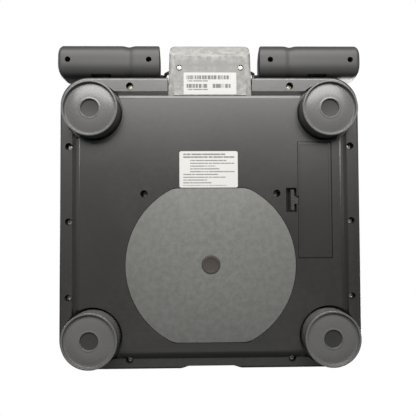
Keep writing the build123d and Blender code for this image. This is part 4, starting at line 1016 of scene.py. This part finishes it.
def buildGrip(side):
    grip = gripFrame(side)
    body = f"grip_{side}"
    recessProfile = roundProfile(
        [(0, gripLook["screwDepth"]), (gripLook["screwRecess"], gripLook["screwDepth"]),
         (gripLook["screwRecess"], -5 * mm), (0, -5 * mm)], (0.3 * mm, 0), 3,
    )
    recessProfile[:, 1] += grip["seam"] - grip["halfHeight"]
    for upper, part in ((True, "upper_shell"), (False, "lower_shell")):
        piece = gridPiece(f"grip_{side}_{part}_bar", gripHalf(grip, upper), materials["grip_grey"])
        tools = [cutter("slotTool", grid) for grid in hookSlot(grip)]
        if not upper:
            tools += [
                cutter("recessTool", revolve(recessProfile, (low + high) / 2, 48))
                for low, high in solidBoxes(f"grip_{side}_screws")
            ]
        cutAway(piece, tools)
        place(piece, body, "grip_grey", f"grip_{side}_{part}")
    for part in ("finger_electrode", "thumb_electrode"):
        electrode = gripElectrode(grip, side, part, materials["electrode_steel"])
        place(electrode, body, "electrode_steel", f"grip_{side}_{part}")


electrodeLook = {
    # the middle's angle round the section, in radians, and the length along it
    "finger_electrode": (0.86, 30.0 * mm), "thumb_electrode": (math.pi / 2, 26.0 * mm),
    "thickness": 0.35 * mm, "sunk": 0.4 * mm, "corner": 5.0 * mm, "outline": 128,
    "perRadian": 18.0 * mm,       # distance round the section for each radian
}


def gripElectrode(grip, side, part, material):
    # a rounded patch drawn on the bar's surface: across is an angle round the section, along is X
    low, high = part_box(f"grip_{side}_{part}")
    ends = sorted((abs(low[0]), abs(high[0])))
    width = ends[1] - ends[0]
    centreTurn, reach = electrodeLook[part]
    thickness, sunk = electrodeLook["thickness"], electrodeLook["sunk"]
    rings = [(0.5 * reach * share, thickness) for share in np.linspace(0.97, 0.06, 14)]
    rings += [(0.25 * mm, thickness), (0.05 * mm, thickness * 0.6), (0, 0), (0, -sunk)]
    rings += [(0.5 * reach * share, -sunk) for share in np.linspace(0.06, 0.97, 14)]
    grid = plateGrid(width, reach, electrodeLook["corner"], rings, electrodeLook["outline"])
    x = (ends[0] + ends[1]) / 2 + grid[..., 0]
    turn = centreTurn + grid[..., 1] / electrodeLook["perRadian"]
    points = gripPoints(grip, x, -grid[..., 2], turn)
    return gridPiece(f"grip_{side}_{part}_plate", points, material)


for side in sides:
    buildGrip(side)
print("stage: grips done")


# Cord leads between the housing and the grips

leadLook = {
    "bend": 5.0 * mm, "rib": 0.4 * mm, "ribPitch": 1.7 * mm, "relief": 6.0 * mm, "reliefFade": 2.0 * mm,
    "blendHeight": 2.0 * mm, "columns": 40,
}


def leadRoute(inner, outer, exitZ, entryZ, y):
    # straight out of the housing, a quarter turn up, straight up, a quarter turn, and into the grip
    bend = leadLook["bend"]
    rise = (inner + outer) / 2
    quarter = np.linspace(0, math.pi / 2, 13)
    lower = np.column_stack([rise - bend + bend * np.sin(quarter), exitZ + bend - bend * np.cos(quarter)])
    upper = np.column_stack([rise + bend - bend * np.cos(quarter), entryZ - bend + bend * np.sin(quarter)])
    runs = [
        np.linspace((inner, exitZ), lower[0], 20, endpoint=False), lower,
        np.linspace(lower[-1], upper[0], 9)[1:-1], upper, np.linspace(upper[-1], (outer, entryZ), 20)[1:],
    ]
    flat = np.concatenate(runs)
    return np.column_stack([flat[:, 0], np.full(len(flat), y), flat[:, 1]])


def cordLead(side):
    # a round section carried along the route, its radius swelling in ribs near the two ends
    node = f"grip_{side}_cord_lead"
    low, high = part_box(node)
    sign = sides[side]
    radius = (high[1] - low[1]) / 2
    ends = sorted((abs(low[0]), abs(high[0])))
    route = leadRoute(ends[0], ends[1], low[2] + radius, high[2] - radius, (low[1] + high[1]) / 2)
    steps = np.linalg.norm(np.diff(route, axis=0), axis=1)
    travelled = np.concatenate([[0], np.cumsum(steps)])
    fromEnd = np.minimum(travelled, travelled[-1] - travelled)
    swell = leadLook["rib"] * (0.5 + 0.5 * np.cos(2 * math.pi * travelled / leadLook["ribPitch"]))
    swell = (swell + leadLook["rib"]) * np.clip((leadLook["relief"] - fromEnd) / leadLook["reliefFade"], 0, 1)
    forward = np.gradient(route, axis=0)
    forward /= np.linalg.norm(forward, axis=1, keepdims=True)
    sideways = np.tile([0.0, 1.0, 0.0], (len(route), 1))
    upward = np.cross(forward, sideways)
    turn = circleAngles(leadLook["columns"])[None, :, None]
    ring = np.cos(turn) * sideways[:, None] + np.sin(turn) * upward[:, None]
    points = route[:, None] + ring * (radius + swell)[:, None, None]
    points = np.concatenate([route[:1, None] + 0 * points[:1], points, route[-1:, None] + 0 * points[-1:]])
    points[..., 0] *= sign
    lead = gridPiece(f"grip_{side}_cord", points, materials["cord_black"])
    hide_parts(node)
    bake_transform(lead)


for side in sides:
    cordLead(side)
print("stage: cord leads done")


# Everything else keeps its CAD shape

def keepShape(node, slot):
    mesh = nodes[node].data
    mesh.materials.clear()
    mesh.materials.append(materials[slot])


slotOf = {part["node"]: part["material_slot"] for part in frame["record"]["subparts"]}
for node, piece in nodes.items():
    if not piece.hide_render:
        keepShape(node, slotOf[node])
print("stage: CAD pieces finished")


# Stage, lights and camera

stageLook = {
    "floorSize": 12.0, "floorDrop": 0.3 * mm, "floor": (0.80, 0.79, 0.77), "surround": 0.11,
    "surroundColour": (0.97, 0.98, 1.0, 1),
}
cameraLook = {
    "place": (9.67 * mm, -16.28 * mm, -400.0 * mm),
    "turn": (-178.402, 0.948, -179.691),      # degrees: it looks up at the underside
    "lens": 34.57, "sensor": 36.0,
}
# place, size, watts, colour; each light points at the scale
lightLooks = {
    "lowKey": ((0.0, 0.82, -0.88), (1.5, 0.7), 34.0, (1.0, 0.985, 0.96)),
    "lowFill": ((0.0, -0.7, -1.1), (1.2, 0.5), 0.8, (0.95, 0.97, 1.0)),
    "lowLeft": ((1.1, 0.25, -0.5), (0.5, 1.0), 1.1, (1.0, 1.0, 1.0)),
    "lowRight": ((-1.1, 0.25, -0.5), (0.5, 1.0), 1.1, (1.0, 1.0, 1.0)),
    "highKey": ((-0.9, -0.7, 1.4), (1.0, 1.0), 32.0, (1.0, 0.985, 0.96)),
    "highFill": ((1.2, 0.4, 1.1), (1.2, 1.2), 16.0, (0.95, 0.97, 1.0)),
}


def makeFloor():
    # seen from above it is a pale floor; seen from below it is clear, so that the underside shows through
    half = stageLook["floorSize"] / 2
    corners = np.array([(-half, -half), (half, -half), (half, half), (-half, half)])
    points = np.column_stack([corners, np.full(4, -stageLook["floorDrop"])])
    mesh = bpy.data.meshes.new("floor")
    mesh.from_pydata(points, [], [(0, 1, 2, 3)])
    floor = bpy.data.objects.new("floor", mesh)
    scene.collection.objects.link(floor)
    material, tree, shader, coordinates = startMaterial("floor")
    mottle = noise(tree, coordinates, 3.0, 4.0)
    base = np.array(stageLook["floor"])
    feed(tree, shader.inputs["Base Color"], mixColour(tree, mottle, (*base * 0.98, 1), (*base * 1.02, 1)))
    shader.inputs["Roughness"].default_value = 0.7
    behind = addNode(tree, "ShaderNodeNewGeometry").outputs["Backfacing"]
    clear = addNode(tree, "ShaderNodeBsdfTransparent").outputs["BSDF"]
    mixed = addNode(tree, "ShaderNodeMixShader", {0: behind, 1: shader.outputs["BSDF"], 2: clear})
    tree.links.new(mixed.outputs["Shader"], tree.nodes["Material Output"].inputs["Surface"])
    mesh.materials.append(material)
    floor.visible_diffuse = False
    floor.visible_glossy = False
    floor.visible_transmission = False
    floor.visible_shadow = False


def makeWorld():
    world = bpy.data.worlds.new("studio")
    scene.world = world
    world.use_nodes = True
    tree = world.node_tree
    tree.nodes.clear()
    seen = addNode(tree, "ShaderNodeLightPath").outputs["Is Camera Ray"]
    values = {"Color": stageLook["surroundColour"], "Strength": stageLook["surround"]}
    dim = addNode(tree, "ShaderNodeBackground", values)
    white = addNode(tree, "ShaderNodeBackground", {"Color": (1.0, 1.0, 1.0, 1), "Strength": 1.0})
    mixed = addNode(tree, "ShaderNodeMixShader", {0: seen, 1: dim.outputs[0], 2: white.outputs[0]})
    out = addNode(tree, "ShaderNodeOutputWorld")
    tree.links.new(mixed.outputs["Shader"], out.inputs["Surface"])


def makeLights():
    for name, (spot, size, watts, colour) in lightLooks.items():
        lamp = bpy.data.lights.new(name, "AREA")
        lamp.shape = "RECTANGLE"
        lamp.size, lamp.size_y = size
        lamp.energy = watts
        lamp.color = colour
        light = bpy.data.objects.new(name, lamp)
        scene.collection.objects.link(light)
        light.location = spot
        light.rotation_euler = (-Vector(spot)).to_track_quat("-Z", "Y").to_euler()
        light.visible_camera = False


def makeCamera():
    lens = bpy.data.cameras.new("camera")
    lens.lens = cameraLook["lens"]
    lens.sensor_width = cameraLook["sensor"]
    lens.clip_start = 0.01
    camera = bpy.data.objects.new("camera", lens)
    scene.collection.objects.link(camera)
    camera.location = cameraLook["place"]
    camera.rotation_euler = [math.radians(angle) for angle in cameraLook["turn"]]
    scene.camera = camera


makeFloor()
makeWorld()
makeLights()
makeCamera()
scene.view_settings.view_transform = "Standard"
print("stage: lights and camera ready")
